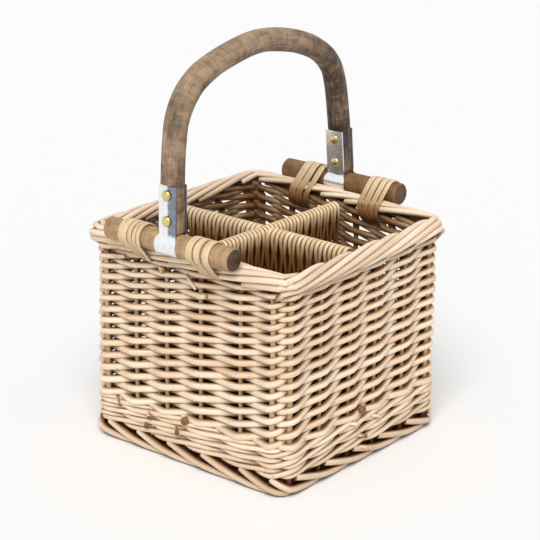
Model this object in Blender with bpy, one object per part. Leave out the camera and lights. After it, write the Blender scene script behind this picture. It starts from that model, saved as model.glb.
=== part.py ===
"""Four-bottle willow basket with a bentwood carrying bail.

Metres, +Z up. The origin is the middle of the footprint, on the surface the basket stands on.
The front wall faces -Y and the right wall +X. The perch rods and the slide of the bail run along X.
"""

import math

import bmesh
import bpy
from mathutils import Matrix, Vector

# Fits
GAP = 0.0003  # left between any two pieces that touch
OVERRUN = 0.004  # how far a cutter runs past what it cuts

# Facets
ROUND_SIDES = 20
WILLOW_SIDES = 10
BAND_STEPS = 10  # on each end of a lashing
STRAP_STEPS = 18
RIVET_SIDES = 12
DOME_STEPS = 3
CROWN_STEPS = 6  # on the rounded top edge of a divider
RIM_RESOLUTION = 4
BAIL_RESOLUTION = 6
BAIL_STEPS = 4  # between two points of the arch

# Willow walls
WALL_HALF = 0.115  # from the middle to the outer face of the siding
CORNER_CUT = 0.0157  # what the slanted corner takes off each side
WEAVER_DIAMETER = 0.006
STAKE_DIAMETER = 0.005
STAKES_PER_WALL = 6
STAKE_CORNER_INSET = 0.018  # from the outer face of the next wall to the last stake
WALE_PROUD = 0.001  # how far the wale and the foot stand out of the siding
FOOT_HEIGHT = 0.013
WALE_HEIGHT = 0.0237

# Courses of the siding, which stand out of the outer face of its walls
COURSE_ROWS = 13  # from the lowest to the highest course in front of a stake
COURSE_FIRST_ABOVE = 0.0034  # from the bottom edge to the lowest course, on average
COURSE_LAST_BELOW = 0.003  # from the highest course to the top edge
COURSE_RISE = 0.005  # how far the lowest course rises and falls round the basket
COURSE_PEAK_SHARE = 0.745  # where it is highest, in walls on from the middle of the front
COURSE_EASE_SHARE = 0.147  # how much wider the rows are at the bottom than at the top
COURSE_CLEARANCE = 0.0004  # least height between two points above each other
WINDOW_DEPTH = 0.005  # between two courses, in front of a stake
CORNER_WINDOW_DEPTH = 0.004  # in front of the stakes next to a corner
GROOVE_DEPTH = 0.0016  # between two courses that cross from front to back
CORNER_DEPTH = 0.0019  # how far the courses lie inside the slanted corner
CORNER_GROOVE_DEPTH = 0.0006
# Levels within a row, up from its course: in front of a stake, and between two stakes
STAKE_LEVEL_SHARES = (-0.20, 0.20, 0.36, 0.64)
MIDDLE_LEVEL_SHARES = (-0.11, 0.14, 0.39, 0.64)
TOP_LEVELS = 2  # of the highest course

# Base
BASE_LIFT = 0.004  # clear height under the woven base
BASE_STICK_DIAMETER = 0.008
BASE_WEAVER_DIAMETER = 0.002
BASE_STICK_PITCH = 0.056
BASE_STICKS = 3

# Rolled rim
RIM_PROUD = 0.0018  # how far the rim stands out of the siding
RIM_CORNER_CUT = 0.0124
RIM_DIAMETER = 0.0206
RIM_TOP = 0.2019

# Dividers
DIVIDER_THICKNESS = 0.011
DIVIDER_TOP = 0.196
LONG_DIVIDER_X = 0.002
CROSS_DIVIDER_Y = -0.006
LOW_BAR_DIAMETER = 0.0075
LOW_BAR_ABOVE_WALE = 0.0018  # from the wale to the underside of the lower low bar
TOP_BAR_DIAMETER = 0.0045
TOP_BAR_COVER = 0.003  # willow over the upper top bar
LOW_BAR_END_SHORT = 0.0008  # how far a cut end stays inside the rim's outer line

# Perch rods on the rim, and the cane that lashes them down
ROD_DIAMETER = 0.0205
ROD_SEAT_ANGLE = math.radians(41)  # where a rod lies on the rim, up from the horizontal
ROD_END_BEVEL = 0.001
FRONT_ROD_LENGTH = 0.1407
FRONT_ROD_X = -0.0044
BACK_ROD_LENGTH = 0.1341
BACK_ROD_X = -0.0124
LASHING_WIDTH = 0.025
LASHING_THICKNESS = 0.002
LASHING_PLACE_SHARES = (-0.9, -0.9)  # of the free room beside a lashing, in the left and right bay

# Straps, rivets and bail
STRAP_THICKNESS = 0.0012
STRAP_LEAF_WIDTH = 0.019
STRAP_LOOP_WIDTH = 0.0235
STRAP_RISE = 0.052  # from the rod's axis to the top of the leaves
STRAP_FLARE_ANGLE = math.radians(35)  # along the loop, from the neck to its full width
STRAP_PLACE_SHARES = (0.15, -0.72)  # front and back, of the free room beside a strap between its lashings
BACK_LEG_LEAN = math.radians(6)  # inwards, about the rod
BAIL_DIAMETER = 0.0205
LEG_FLAT_THICKNESS = 0.0124  # between the leaves of a strap
LEG_SHOULDER_RELIEF = 0.001  # from the top of the leaves to the shoulder in the leg
RIVET_HEAD_DIAMETER = 0.0095
RIVET_HEAD_HEIGHT = 0.0026
RIVET_SHANK_DIAMETER = 0.004
RIVET_LOW = 0.0212  # above the rod's axis
RIVET_SPACING = 0.0223
BAIL_SHOULDER = 0.290  # where the front leg starts to bend
BAIL_TOP = 0.3613  # highest point of the centre line
# Points of the arch: across from -1 at the front rod to 1 at the back rod, and up from the shoulder to the top.
ARCH_SHARES = (
    (-0.985, 0.0),
    (-0.960, 0.34),
    (-0.862, 0.64),
    (-0.680, 0.84),
    (-0.400, 0.952),
    (-0.060, 1.0),
    (0.290, 0.915),
    (0.580, 0.750),
    (0.780, 0.520),
    (0.880, 0.210),
)

# Worked out from the sizes above
wall_thickness = 2 * WEAVER_DIAMETER + STAKE_DIAMETER
wall_inner_half = WALL_HALF - wall_thickness
wale_half = WALL_HALF + WALE_PROUD
wale_top = FOOT_HEIGHT + GAP + WALE_HEIGHT
stake_line = WALL_HALF - WEAVER_DIAMETER - STAKE_DIAMETER / 2
stake_reach = WALL_HALF - STAKE_CORNER_INSET
stake_pitch = 2 * stake_reach / (STAKES_PER_WALL - 1)
rim_radius = RIM_DIAMETER / 2
rim_half = WALL_HALF + RIM_PROUD
rim_line = rim_half - rim_radius
rim_height = RIM_TOP - rim_radius
siding_low = wale_top + GAP
siding_top = RIM_TOP - RIM_DIAMETER - GAP
mitre_half = WALL_HALF - CORNER_CUT / 2
crossing_depth = WALL_HALF - stake_line - WEAVER_DIAMETER / 2
last_column = 2 * STAKES_PER_WALL  # of a wall's relief: one at each stake, between two, and at each end
column_depths = [(crossing_depth, crossing_depth + GROOVE_DEPTH) * 2] * (last_column + 1)
column_depths[1::2] = [(0, 0, WINDOW_DEPTH, WINDOW_DEPTH)] * STAKES_PER_WALL
column_depths[1] = column_depths[-2] = (0, 0, CORNER_WINDOW_DEPTH, CORNER_WINDOW_DEPTH)
column_depths[0] = column_depths[-1] = (CORNER_DEPTH, CORNER_DEPTH + CORNER_GROOVE_DEPTH) * 2
base_thickness = BASE_STICK_DIAMETER + 2 * BASE_WEAVER_DIAMETER
base_half = wall_inner_half - GAP
base_middle = BASE_LIFT + base_thickness / 2
divider_half = rim_half - RIM_DIAMETER - GAP
divider_foot = BASE_LIFT + base_thickness + GAP
divider_lap = (divider_foot + DIVIDER_TOP) / 2
long_low_bar_height = wale_top + LOW_BAR_ABOVE_WALE + LOW_BAR_DIAMETER / 2
cross_low_bar_height = long_low_bar_height + LOW_BAR_DIAMETER + GAP
low_bar_half = rim_half - LOW_BAR_END_SHORT
long_top_bar_height = DIVIDER_TOP - TOP_BAR_COVER - TOP_BAR_DIAMETER / 2
cross_top_bar_height = long_top_bar_height - TOP_BAR_DIAMETER - 2 * GAP
rod_radius = ROD_DIAMETER / 2
rod_distance = rim_radius + rod_radius + STRAP_THICKNESS + 3 * GAP  # a strap passes between them
rod_line = rim_line + rod_distance * math.cos(ROD_SEAT_ANGLE)
rod_height = rim_height + rod_distance * math.sin(ROD_SEAT_ANGLE)
strap_radius = rod_radius + GAP + STRAP_THICKNESS / 2
leaf_offset = LEG_FLAT_THICKNESS / 2 + GAP + STRAP_THICKNESS / 2
rivet_seat = leaf_offset + STRAP_THICKNESS / 2 + GAP

SIDES = ("front", "right", "back", "left")  # each a quarter turn on from the one before

# Colours, as linear red, green and blue
WILLOW = (0.62, 0.45, 0.28)
WILLOW_DARK = (0.50, 0.35, 0.20)
ROD_WOOD = (0.22, 0.13, 0.07)
BAIL_WOOD = (0.30, 0.20, 0.13)
CANE = (0.52, 0.38, 0.20)
STEEL = (0.75, 0.75, 0.76)
BRASS = (0.70, 0.55, 0.25)


def finish(name, colour, roughness, metallic=0.0):
    """A Principled material in one colour."""
    made = bpy.data.materials.new(name)
    made.use_nodes = True
    shader = made.node_tree.nodes["Principled BSDF"]
    shader.inputs["Base Color"].default_value = (*colour, 1.0)
    shader.inputs["Roughness"].default_value = roughness
    shader.inputs["Metallic"].default_value = metallic
    made.diffuse_color = (*colour, 1.0)
    return made


def add_object(name, data, colour, roughness=0.6, metallic=0.0):
    """One piece, with a material of its own, which also works where two pieces share a mesh."""
    piece = bpy.data.objects.new(name, data)
    bpy.context.scene.collection.objects.link(piece)
    if not data.materials:
        data.materials.append(None)
    piece.material_slots[0].link = "OBJECT"
    piece.material_slots[0].material = finish(name, colour, roughness, metallic)
    return piece


def mesh_from(bm, name, smooth_angle=math.radians(40)):
    bmesh.ops.recalc_face_normals(bm, faces=bm.faces)
    mesh = bpy.data.meshes.new(name)
    bm.to_mesh(mesh)
    bm.free()
    mesh.shade_smooth()
    mesh.set_sharp_from_angle(angle=smooth_angle)
    return mesh


def extruded(bm, outline, along):
    """A closed prism: the outline's face, extruded by the vector."""
    face = bm.faces.new([bm.verts.new(point) for point in outline])
    result = bmesh.ops.extrude_face_region(bm, geom=[face], use_keep_orig=True)
    moved = [item for item in result["geom"] if isinstance(item, bmesh.types.BMVert)]
    bmesh.ops.translate(bm, verts=moved, vec=along)


def add_cylinder(bm, start, end, radius, sides):
    """A closed cylinder from one point to the other."""
    start = Vector(start)
    end = Vector(end)
    axis = end - start
    turn = axis.to_track_quat("Z", "Y").to_matrix().to_4x4()
    place = Matrix.Translation((start + end) / 2) @ turn
    bmesh.ops.create_cone(
        bm,
        cap_ends=True,
        segments=sides,
        radius1=radius,
        radius2=radius,
        depth=axis.length,
        matrix=place,
    )


def add_box(bm, low, high):
    low = Vector(low)
    high = Vector(high)
    place = Matrix.Translation((low + high) / 2) @ Matrix.Diagonal((*(high - low), 1.0))
    bmesh.ops.create_cube(bm, size=1.0, matrix=place)


def bore_radius(radius, sides):
    """A faceted bore whose flats stay one gap clear of a rod of this radius."""
    return (radius + GAP) / math.cos(math.pi / sides)


def make_cutter(bm, name):
    mesh = bpy.data.meshes.new(name)
    bmesh.ops.recalc_face_normals(bm, faces=bm.faces)
    bm.to_mesh(mesh)
    bm.free()
    cutter = bpy.data.objects.new(name, mesh)
    bpy.context.scene.collection.objects.link(cutter)
    cutter.hide_render = True
    cutter.display_type = "WIRE"
    return cutter


def cut(piece, cutter):
    modifier = piece.modifiers.new(cutter.name, "BOOLEAN")
    modifier.operation = "DIFFERENCE"
    modifier.solver = "EXACT"
    modifier.object = cutter


def stake_places():
    """Each stake's name and its place in plan, wall by wall."""
    for quarter, side in enumerate(SIDES):
        turn = Matrix.Rotation(quarter * math.pi / 2, 2)
        for index in range(STAKES_PER_WALL):
            place = turn @ Vector((-stake_reach + index * stake_pitch, -stake_line))
            yield f"stake_{side}_{index + 1}", place


def lashing_places():
    """The middle of the left and the right lashing along X, each in the bay between two stakes."""
    room = stake_pitch - STAKE_DIAMETER - 2 * GAP - LASHING_WIDTH
    for bay, share in zip((-1, 1), LASHING_PLACE_SHARES):
        yield bay * stake_pitch + share * room / 2


def strap_places():
    """Where the front and the back strap stand along X, between the two lashings."""
    left, right = lashing_places()
    middle = (left + right) / 2
    room = right - left - LASHING_WIDTH - STRAP_LOOP_WIDTH
    return [middle + share * room / 2 for share in STRAP_PLACE_SHARES]


def wall_outline(outer_half, cut_length, inner_half):
    """The front wall in plan, mitred along the corner diagonals so that four of them close the square."""
    back_off = GAP / math.sqrt(2)
    mitre = outer_half - cut_length / 2
    return (
        (-mitre + back_off, -mitre),
        (-outer_half + cut_length, -outer_half),
        (outer_half - cut_length, -outer_half),
        (mitre - back_off, -mitre),
        (inner_half - back_off, -inner_half),
        (-inner_half + back_off, -inner_half),
    )


def build_wale(stakes):
    """One slab for each wall, with the same mesh turned to face each way."""
    bm = bmesh.new()
    outline = wall_outline(wale_half, CORNER_CUT, wall_inner_half)
    extruded(bm, [(x, y, FOOT_HEIGHT + GAP) for x, y in outline], (0, 0, WALE_HEIGHT))
    mesh = mesh_from(bm, "wale")
    for quarter, side in enumerate(SIDES):
        wale = add_object(f"wale_{side}", mesh, WILLOW)
        wale.rotation_euler.z = quarter * math.pi / 2
        cut(wale, stakes)


def course_height(rows, walls):
    """Height this many rows up, at a place so many walls on. The rows get closer towards the rim."""
    turn = (walls - COURSE_PEAK_SHARE) * math.pi / 2
    low = siding_low + COURSE_FIRST_ABOVE + COURSE_RISE * math.cos(turn)
    share = rows / COURSE_ROWS
    eased = share * (1 + COURSE_EASE_SHARE * (1 - share))
    return low + eased * (siding_top - COURSE_LAST_BELOW - low)


def siding_column(number, quarter):
    """Points up the outer face of a wall. Odd numbers are at a stake, the first and last on a corner."""
    x = -stake_reach + (number - 1) * stake_pitch / 2
    y = -WALL_HALF
    inwards = Vector((0, 1, 0))
    level_shares = STAKE_LEVEL_SHARES if number % 2 else MIDDLE_LEVEL_SHARES
    depths = column_depths[number]
    if number in (0, last_column):
        side = math.copysign(1, x)
        x = side * (mitre_half - GAP / math.sqrt(2))
        y = -mitre_half
        inwards = Vector((-side, 1, 0))
    points = [Vector((x, y, siding_low))]
    walls = quarter + x / (2 * mitre_half)
    for row in range(COURSE_ROWS + 1):
        for level, (share, depth) in enumerate(zip(level_shares, depths)):
            if row < COURSE_ROWS or level < TOP_LEVELS:
                least = siding_low + len(points) * COURSE_CLEARANCE
                height = max(course_height(row + share, walls), least)
                points.append(Vector((x, y, height)) + inwards * depth)
    points.append(Vector((x, y, siding_top)) + inwards * depths[0])
    return points


def siding_mesh(quarter):
    """One woven wall, facing front. Each course leaves a stake upwards and comes to the next from below."""
    bm = bmesh.new()
    columns = []
    for number in range(last_column + 1):
        columns.append([bm.verts.new(point) for point in siding_column(number, quarter)])
    top = len(columns[0]) - 1
    for number in range(last_column):
        left, right = columns[number], columns[number + 1]
        pairs = [(level, level) for level in range(top + 1)]
        if number % 2:
            pairs = [(0, 0), *((level, level + 1) for level in range(top)), (top, top)]
        for (left_low, right_low), (left_high, right_high) in zip(pairs, pairs[1:]):
            corners = (left[left_low], right[right_low], right[right_high], left[left_high])
            bm.faces.new(list(dict.fromkeys(corners)))
    bmesh.ops.triangulate(bm, faces=bm.faces)
    back_off = GAP / math.sqrt(2)
    inner = []
    for side in (-1, 1):
        x = side * (wall_inner_half - back_off)
        inner.append([bm.verts.new((x, -wall_inner_half, height)) for height in (siding_low, siding_top)])
    left_inner, right_inner = inner
    bm.faces.new([*left_inner, *reversed(right_inner)])
    bm.faces.new([*columns[0], *reversed(left_inner)])
    bm.faces.new([*columns[-1], *reversed(right_inner)])
    for end in (0, -1):
        bm.faces.new([*(column[end] for column in columns), right_inner[end], left_inner[end]])
    return mesh_from(bm, f"siding_{SIDES[quarter]}")


def build_siding(cutters):
    for quarter, side in enumerate(SIDES):
        wall = add_object(f"siding_{side}", siding_mesh(quarter), WILLOW)
        wall.rotation_euler.z = quarter * math.pi / 2
        for cutter in cutters[side]:
            cut(wall, cutter)


def build_foot():
    """The woven foot: a closed ring with a slanted corner and a flat underside."""
    bm = bmesh.new()
    straight = wale_half - CORNER_CUT
    outer = [
        (along * straight, across * wale_half) if flat else (along * wale_half, across * straight)
        for along, across, flat in (
            (-1, -1, True),
            (1, -1, True),
            (1, -1, False),
            (1, 1, False),
            (1, 1, True),
            (-1, 1, True),
            (-1, 1, False),
            (-1, -1, False),
        )
    ]
    extruded(bm, [(x, y, 0) for x, y in outer], (0, 0, FOOT_HEIGHT))
    foot = add_object("foot_border", mesh_from(bm, "foot_border"), WILLOW)
    bm = bmesh.new()
    low = (-wall_inner_half, -wall_inner_half, -OVERRUN)
    high = (wall_inner_half, wall_inner_half, FOOT_HEIGHT + OVERRUN)
    add_box(bm, low, high)
    cut(foot, make_cutter(bm, "foot_opening"))


def build_base():
    """The woven base on its sticks, which run from front to back."""
    middle = (BASE_STICKS - 1) / 2
    stick_places = [(index - middle) * BASE_STICK_PITCH for index in range(BASE_STICKS)]
    stick_radius = BASE_STICK_DIAMETER / 2
    bm = bmesh.new()
    low = (-base_half, -base_half, BASE_LIFT)
    high = (base_half, base_half, BASE_LIFT + base_thickness)
    add_box(bm, low, high)
    weave = add_object("base_weave", mesh_from(bm, "base_weave"), WILLOW)
    bm = bmesh.new()
    for x in stick_places:
        start = (x, -base_half - OVERRUN, base_middle)
        end = (x, base_half + OVERRUN, base_middle)
        add_cylinder(bm, start, end, bore_radius(stick_radius, WILLOW_SIDES), WILLOW_SIDES)
    cut(weave, make_cutter(bm, "base_stick_bores"))
    bm = bmesh.new()
    add_cylinder(bm, (0, -base_half, 0), (0, base_half, 0), stick_radius, WILLOW_SIDES)
    mesh = mesh_from(bm, "base_stick")
    for number, x in enumerate(stick_places, start=1):
        stick = add_object(f"base_stick_{number}", mesh, WILLOW_DARK)
        stick.location = (x, 0, base_middle)


def build_stakes():
    bm = bmesh.new()
    low = FOOT_HEIGHT + GAP
    add_cylinder(bm, (0, 0, low), (0, 0, siding_top), STAKE_DIAMETER / 2, WILLOW_SIDES)
    mesh = mesh_from(bm, "stake")
    for name, (x, y) in stake_places():
        stake = add_object(name, mesh, WILLOW_DARK)
        stake.location = (x, y, 0)


def stake_bores():
    bm = bmesh.new()
    radius = bore_radius(STAKE_DIAMETER / 2, WILLOW_SIDES)
    for _, (x, y) in stake_places():
        add_cylinder(bm, (x, y, 0), (x, y, RIM_TOP), radius, WILLOW_SIDES)
    return make_cutter(bm, "stake_bores")


def bar_bore(name, start, end, diameter):
    bm = bmesh.new()
    add_cylinder(bm, start, end, bore_radius(diameter / 2, WILLOW_SIDES), WILLOW_SIDES)
    return make_cutter(bm, name)


def lashing_notches():
    """Notches in the top of the siding, where the lashings pass under the rim."""
    bm = bmesh.new()
    reach = LASHING_WIDTH / 2 + GAP
    under = (rim_radius + GAP + LASHING_THICKNESS) / math.cos(math.pi / (2 * BAND_STEPS))
    low = rim_height - under - GAP
    for x in lashing_places():
        for facing in (-1, 1):
            near, far = sorted((facing * (wall_inner_half - OVERRUN), facing * (WALL_HALF + OVERRUN)))
            add_box(bm, (x - reach, near, low), (x + reach, far, siding_top + OVERRUN))
    return make_cutter(bm, "lashing_notches")


def build_rim():
    """The rolled top border, one length to a wall, bent round half of each corner."""
    cut_length = RIM_CORNER_CUT - rim_radius * (2 - math.sqrt(2))
    corner = rim_line - cut_length / 2
    straight = rim_line - cut_length
    back_off = GAP / 2 / math.sqrt(2)
    points = (
        (-corner + back_off, -corner - back_off),
        (-straight, -rim_line),
        (straight, -rim_line),
        (corner - back_off, -corner - back_off),
    )
    curve = bpy.data.curves.new("rim", "CURVE")
    curve.dimensions = "3D"
    curve.twist_mode = "Z_UP"
    curve.bevel_depth = rim_radius
    curve.bevel_resolution = RIM_RESOLUTION
    curve.use_fill_caps = True
    spline = curve.splines.new("POLY")
    spline.points.add(len(points) - 1)
    for spot, (x, y) in zip(spline.points, points):
        spot.co = (x, y, rim_height, 1)
    for quarter, side in enumerate(SIDES):
        rim = add_object(f"rim_{side}", curve, WILLOW)
        rim.rotation_euler.z = quarter * math.pi / 2


def divider_mesh(name):
    """A woven panel along Y: flat sides and a rounded top edge."""
    bm = bmesh.new()
    half = DIVIDER_THICKNESS / 2
    crown = DIVIDER_TOP - half
    outline = [(-half, -divider_half, divider_foot), (half, -divider_half, divider_foot)]
    for step in range(CROWN_STEPS + 1):
        angle = math.pi * step / CROWN_STEPS
        outline.append((half * math.cos(angle), -divider_half, crown + half * math.sin(angle)))
    extruded(bm, outline, (0, 2 * divider_half, 0))
    return mesh_from(bm, name)


def build_dividers(long_low_bore, cross_low_bore):
    """Two panels lapped at their crossing, each hung on a bar along its top and another near its foot."""
    long_panel = add_object("divider_long", divider_mesh("divider_long"), WILLOW)
    long_panel.location.x = LONG_DIVIDER_X
    cross_panel = add_object("divider_cross", divider_mesh("divider_cross"), WILLOW)
    cross_panel.rotation_euler.z = math.pi / 2
    cross_panel.location.y = CROSS_DIVIDER_Y
    reach = DIVIDER_THICKNESS / 2 + GAP
    bm = bmesh.new()
    low = (LONG_DIVIDER_X - reach, CROSS_DIVIDER_Y - reach, 0)
    high = (LONG_DIVIDER_X + reach, CROSS_DIVIDER_Y + reach, divider_lap + GAP / 2)
    add_box(bm, low, high)
    cut(long_panel, make_cutter(bm, "lap_below"))
    bm = bmesh.new()
    low = (LONG_DIVIDER_X - reach, CROSS_DIVIDER_Y - reach, divider_lap - GAP / 2)
    high = (LONG_DIVIDER_X + reach, CROSS_DIVIDER_Y + reach, DIVIDER_TOP + OVERRUN)
    add_box(bm, low, high)
    cut(cross_panel, make_cutter(bm, "lap_above"))

    past = divider_half + OVERRUN
    long_start = (LONG_DIVIDER_X, -past, long_top_bar_height)
    long_end = (LONG_DIVIDER_X, past, long_top_bar_height)
    long_top_bore = bar_bore("long_top_bore", long_start, long_end, TOP_BAR_DIAMETER)
    cross_start = (-past, CROSS_DIVIDER_Y, cross_top_bar_height)
    cross_end = (past, CROSS_DIVIDER_Y, cross_top_bar_height)
    cross_top_bore = bar_bore("cross_top_bore", cross_start, cross_end, TOP_BAR_DIAMETER)
    for panel in (long_panel, cross_panel):
        for cutter in (long_low_bore, cross_low_bore, long_top_bore, cross_top_bore):
            cut(panel, cutter)


def build_bars():
    """The four sticks that carry the dividers. The low ones come out through the walls."""
    for name, diameter, half in (
        ("divider_low_bar", LOW_BAR_DIAMETER, low_bar_half),
        ("divider_top_bar", TOP_BAR_DIAMETER, divider_half),
    ):
        bm = bmesh.new()
        add_cylinder(bm, (0, -half, 0), (0, half, 0), diameter / 2, WILLOW_SIDES)
        mesh = mesh_from(bm, name)
        low = name == "divider_low_bar"
        long_bar = add_object(f"{name}_long", mesh, WILLOW_DARK)
        height = long_low_bar_height if low else long_top_bar_height
        long_bar.location = (LONG_DIVIDER_X, 0, height)
        cross_bar = add_object(f"{name}_cross", mesh, WILLOW_DARK)
        height = cross_low_bar_height if low else cross_top_bar_height
        cross_bar.location = (0, CROSS_DIVIDER_Y, height)
        cross_bar.rotation_euler.z = math.pi / 2


def build_rods():
    """The two perch rods that the straps hang on, each lying on the outer shoulder of the rim."""
    for name, length, x, facing in (
        ("front_rod", FRONT_ROD_LENGTH, FRONT_ROD_X, -1),
        ("back_rod", BACK_ROD_LENGTH, BACK_ROD_X, 1),
    ):
        bm = bmesh.new()
        add_cylinder(bm, (-length / 2, 0, 0), (length / 2, 0, 0), rod_radius, ROUND_SIDES)
        rims = [edge for edge in bm.edges if abs(edge.verts[0].co.x - edge.verts[1].co.x) < GAP]
        bmesh.ops.bevel(
            bm,
            geom=rims,
            offset=ROD_END_BEVEL,
            segments=1,
            profile=0.5,
            affect="EDGES",
            material=-1,
        )
        rod = add_object(name, mesh_from(bm, name), ROD_WOOD, 0.7)
        rod.location = (x, facing * rod_line, rod_height)


def band_outline(margin):
    """A band pulled round the rim and the rod, as (out, up) points from the rim's axis, this far from them."""
    outset = 1 / math.cos(math.pi / (2 * BAND_STEPS))
    rim_reach = (rim_radius + margin) * outset
    rod_reach = (rod_radius + margin) * outset
    spread = math.acos((rim_reach - rod_reach) / rod_distance)
    rod_out = rod_distance * math.cos(ROD_SEAT_ANGLE)
    rod_up = rod_distance * math.sin(ROD_SEAT_ANGLE)
    points = []
    for step in range(BAND_STEPS + 1):
        angle = ROD_SEAT_ANGLE - spread + 2 * spread * step / BAND_STEPS
        points.append((rod_out + rod_reach * math.cos(angle), rod_up + rod_reach * math.sin(angle)))
    for step in range(BAND_STEPS + 1):
        angle = ROD_SEAT_ANGLE + spread + 2 * (math.pi - spread) * step / BAND_STEPS
        points.append((rim_reach * math.cos(angle), rim_reach * math.sin(angle)))
    return points


def closed_loop(bm, points):
    verts = [bm.verts.new(point) for point in points]
    return [bm.edges.new((vert, verts[index - 1])) for index, vert in enumerate(verts)]


def build_lashings():
    """Flat cane wound round rod and rim, one band to each winding."""
    bm = bmesh.new()
    near = -LASHING_WIDTH / 2
    inner = closed_loop(bm, [(near, -out, up) for out, up in band_outline(GAP)])
    outer = closed_loop(bm, [(near, -out, up) for out, up in band_outline(GAP + LASHING_THICKNESS)])
    bmesh.ops.bridge_loops(bm, edges=inner + outer)
    result = bmesh.ops.extrude_face_region(bm, geom=bm.faces[:], use_keep_orig=True)
    moved = [item for item in result["geom"] if isinstance(item, bmesh.types.BMVert)]
    bmesh.ops.translate(bm, verts=moved, vec=(LASHING_WIDTH, 0, 0))
    mesh = mesh_from(bm, "lashing")
    for side, x in zip(("left", "right"), lashing_places()):
        for wall, facing in (("front", -1), ("back", 1)):
            lashing = add_object(f"{wall}_lashing_{side}", mesh, CANE)
            lashing.location = (x, facing * rim_line, rim_height)
            if facing > 0:
                lashing.rotation_euler.z = math.pi


def strap_mesh():
    """A strip folded round the rod: two leaves up the leg and a wider loop under it, round the X axis."""
    neck = math.asin(leaf_offset / strap_radius)
    rows = [(-leaf_offset, STRAP_RISE, STRAP_LEAF_WIDTH)]
    for step in range(STRAP_STEPS + 1):
        along = step / STRAP_STEPS * 2 * (math.pi - neck)
        angle = neck + along
        from_neck = min(along, 2 * (math.pi - neck) - along)
        flare = min(1.0, from_neck / STRAP_FLARE_ANGLE)
        width = STRAP_LEAF_WIDTH + flare * (STRAP_LOOP_WIDTH - STRAP_LEAF_WIDTH)
        rows.append((-strap_radius * math.sin(angle), strap_radius * math.cos(angle), width))
    rows.append((leaf_offset, STRAP_RISE, STRAP_LEAF_WIDTH))
    bm = bmesh.new()
    pairs = [
        (bm.verts.new((-width / 2, out, up)), bm.verts.new((width / 2, out, up)))
        for out, up, width in rows
    ]
    for (low_left, low_right), (high_left, high_right) in zip(pairs, pairs[1:]):
        bm.faces.new((low_left, low_right, high_right, high_left))
    return mesh_from(bm, "strap")


def rivet_mesh():
    """A shank along Y with a domed head on each end."""
    head = RIVET_HEAD_DIAMETER / 2
    profile = []
    for step in range(DOME_STEPS + 1):
        angle = math.pi / 2 * step / DOME_STEPS
        profile.append((head * math.sin(angle), rivet_seat + RIVET_HEAD_HEIGHT * math.cos(angle)))
    profile.append((RIVET_SHANK_DIAMETER / 2, rivet_seat))
    profile += [(radius, -along) for radius, along in reversed(profile)]
    bm = bmesh.new()
    verts = [bm.verts.new((radius, along, 0)) for radius, along in profile]
    edges = [bm.edges.new(pair) for pair in zip(verts, verts[1:])]
    bmesh.ops.spin(
        bm,
        geom=verts + edges,
        cent=(0, 0, 0),
        axis=(0, 1, 0),
        angle=2 * math.pi,
        steps=RIVET_SIDES,
        use_merge=True,
    )
    bmesh.ops.remove_doubles(bm, verts=bm.verts, dist=GAP / RIVET_SIDES)
    return mesh_from(bm, "rivet")


def leg_frames():
    """Each leg's name, and the matrix that stands its strap on its rod, leaning as the leg does."""
    front_x, back_x = strap_places()
    front = Matrix.Translation((front_x, -rod_line, rod_height))
    back = Matrix.Translation((back_x, rod_line, rod_height))
    return (("front", front), ("back", back @ Matrix.Rotation(BACK_LEG_LEAN, 4, "X")))


def bail_points():
    """The bail's centre line, from the foot of the front leg over the arch to the foot of the back leg."""
    (_, front), (_, back) = leg_frames()
    foot = Vector((0, 0, rod_radius + GAP))
    shoulder = Vector((0, 0, STRAP_RISE + LEG_SHOULDER_RELIEF))
    points = [front @ foot, front @ shoulder]
    front_x, back_x = strap_places()
    for across, up in ARCH_SHARES:
        x = front_x + (back_x - front_x) * (across + 1) / 2
        height = BAIL_SHOULDER + up * (BAIL_TOP - BAIL_SHOULDER)
        points.append(Vector((x, across * rod_line, height)))
    points += [back @ shoulder, back @ foot]
    return points


def bail_mesh():
    """A round stick along a smooth curve through the bail's points, as a mesh that can be cut."""
    curve = bpy.data.curves.new("bail_line", "CURVE")
    curve.dimensions = "3D"
    curve.resolution_u = BAIL_STEPS
    curve.bevel_depth = BAIL_DIAMETER / 2
    curve.bevel_resolution = BAIL_RESOLUTION
    curve.use_fill_caps = True
    spline = curve.splines.new("BEZIER")
    points = bail_points()
    spline.bezier_points.add(len(points) - 1)
    last = len(points) - 1
    for index, (spot, place) in enumerate(zip(spline.bezier_points, points)):
        spot.co = place
        straight = index in (0, last)
        spot.handle_left_type = "VECTOR" if straight else "AUTO"
        spot.handle_right_type = "VECTOR" if straight else "AUTO"
    guide = bpy.data.objects.new("bail_line", curve)
    bpy.context.scene.collection.objects.link(guide)
    mesh = bpy.data.meshes.new_from_object(guide)
    bpy.data.objects.remove(guide)
    bpy.data.curves.remove(curve)
    bm = bmesh.new()
    bm.from_mesh(mesh)
    bpy.data.meshes.remove(mesh)
    bmesh.ops.remove_doubles(bm, verts=bm.verts, dist=GAP / 10)
    return mesh_from(bm, "bail")


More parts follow.
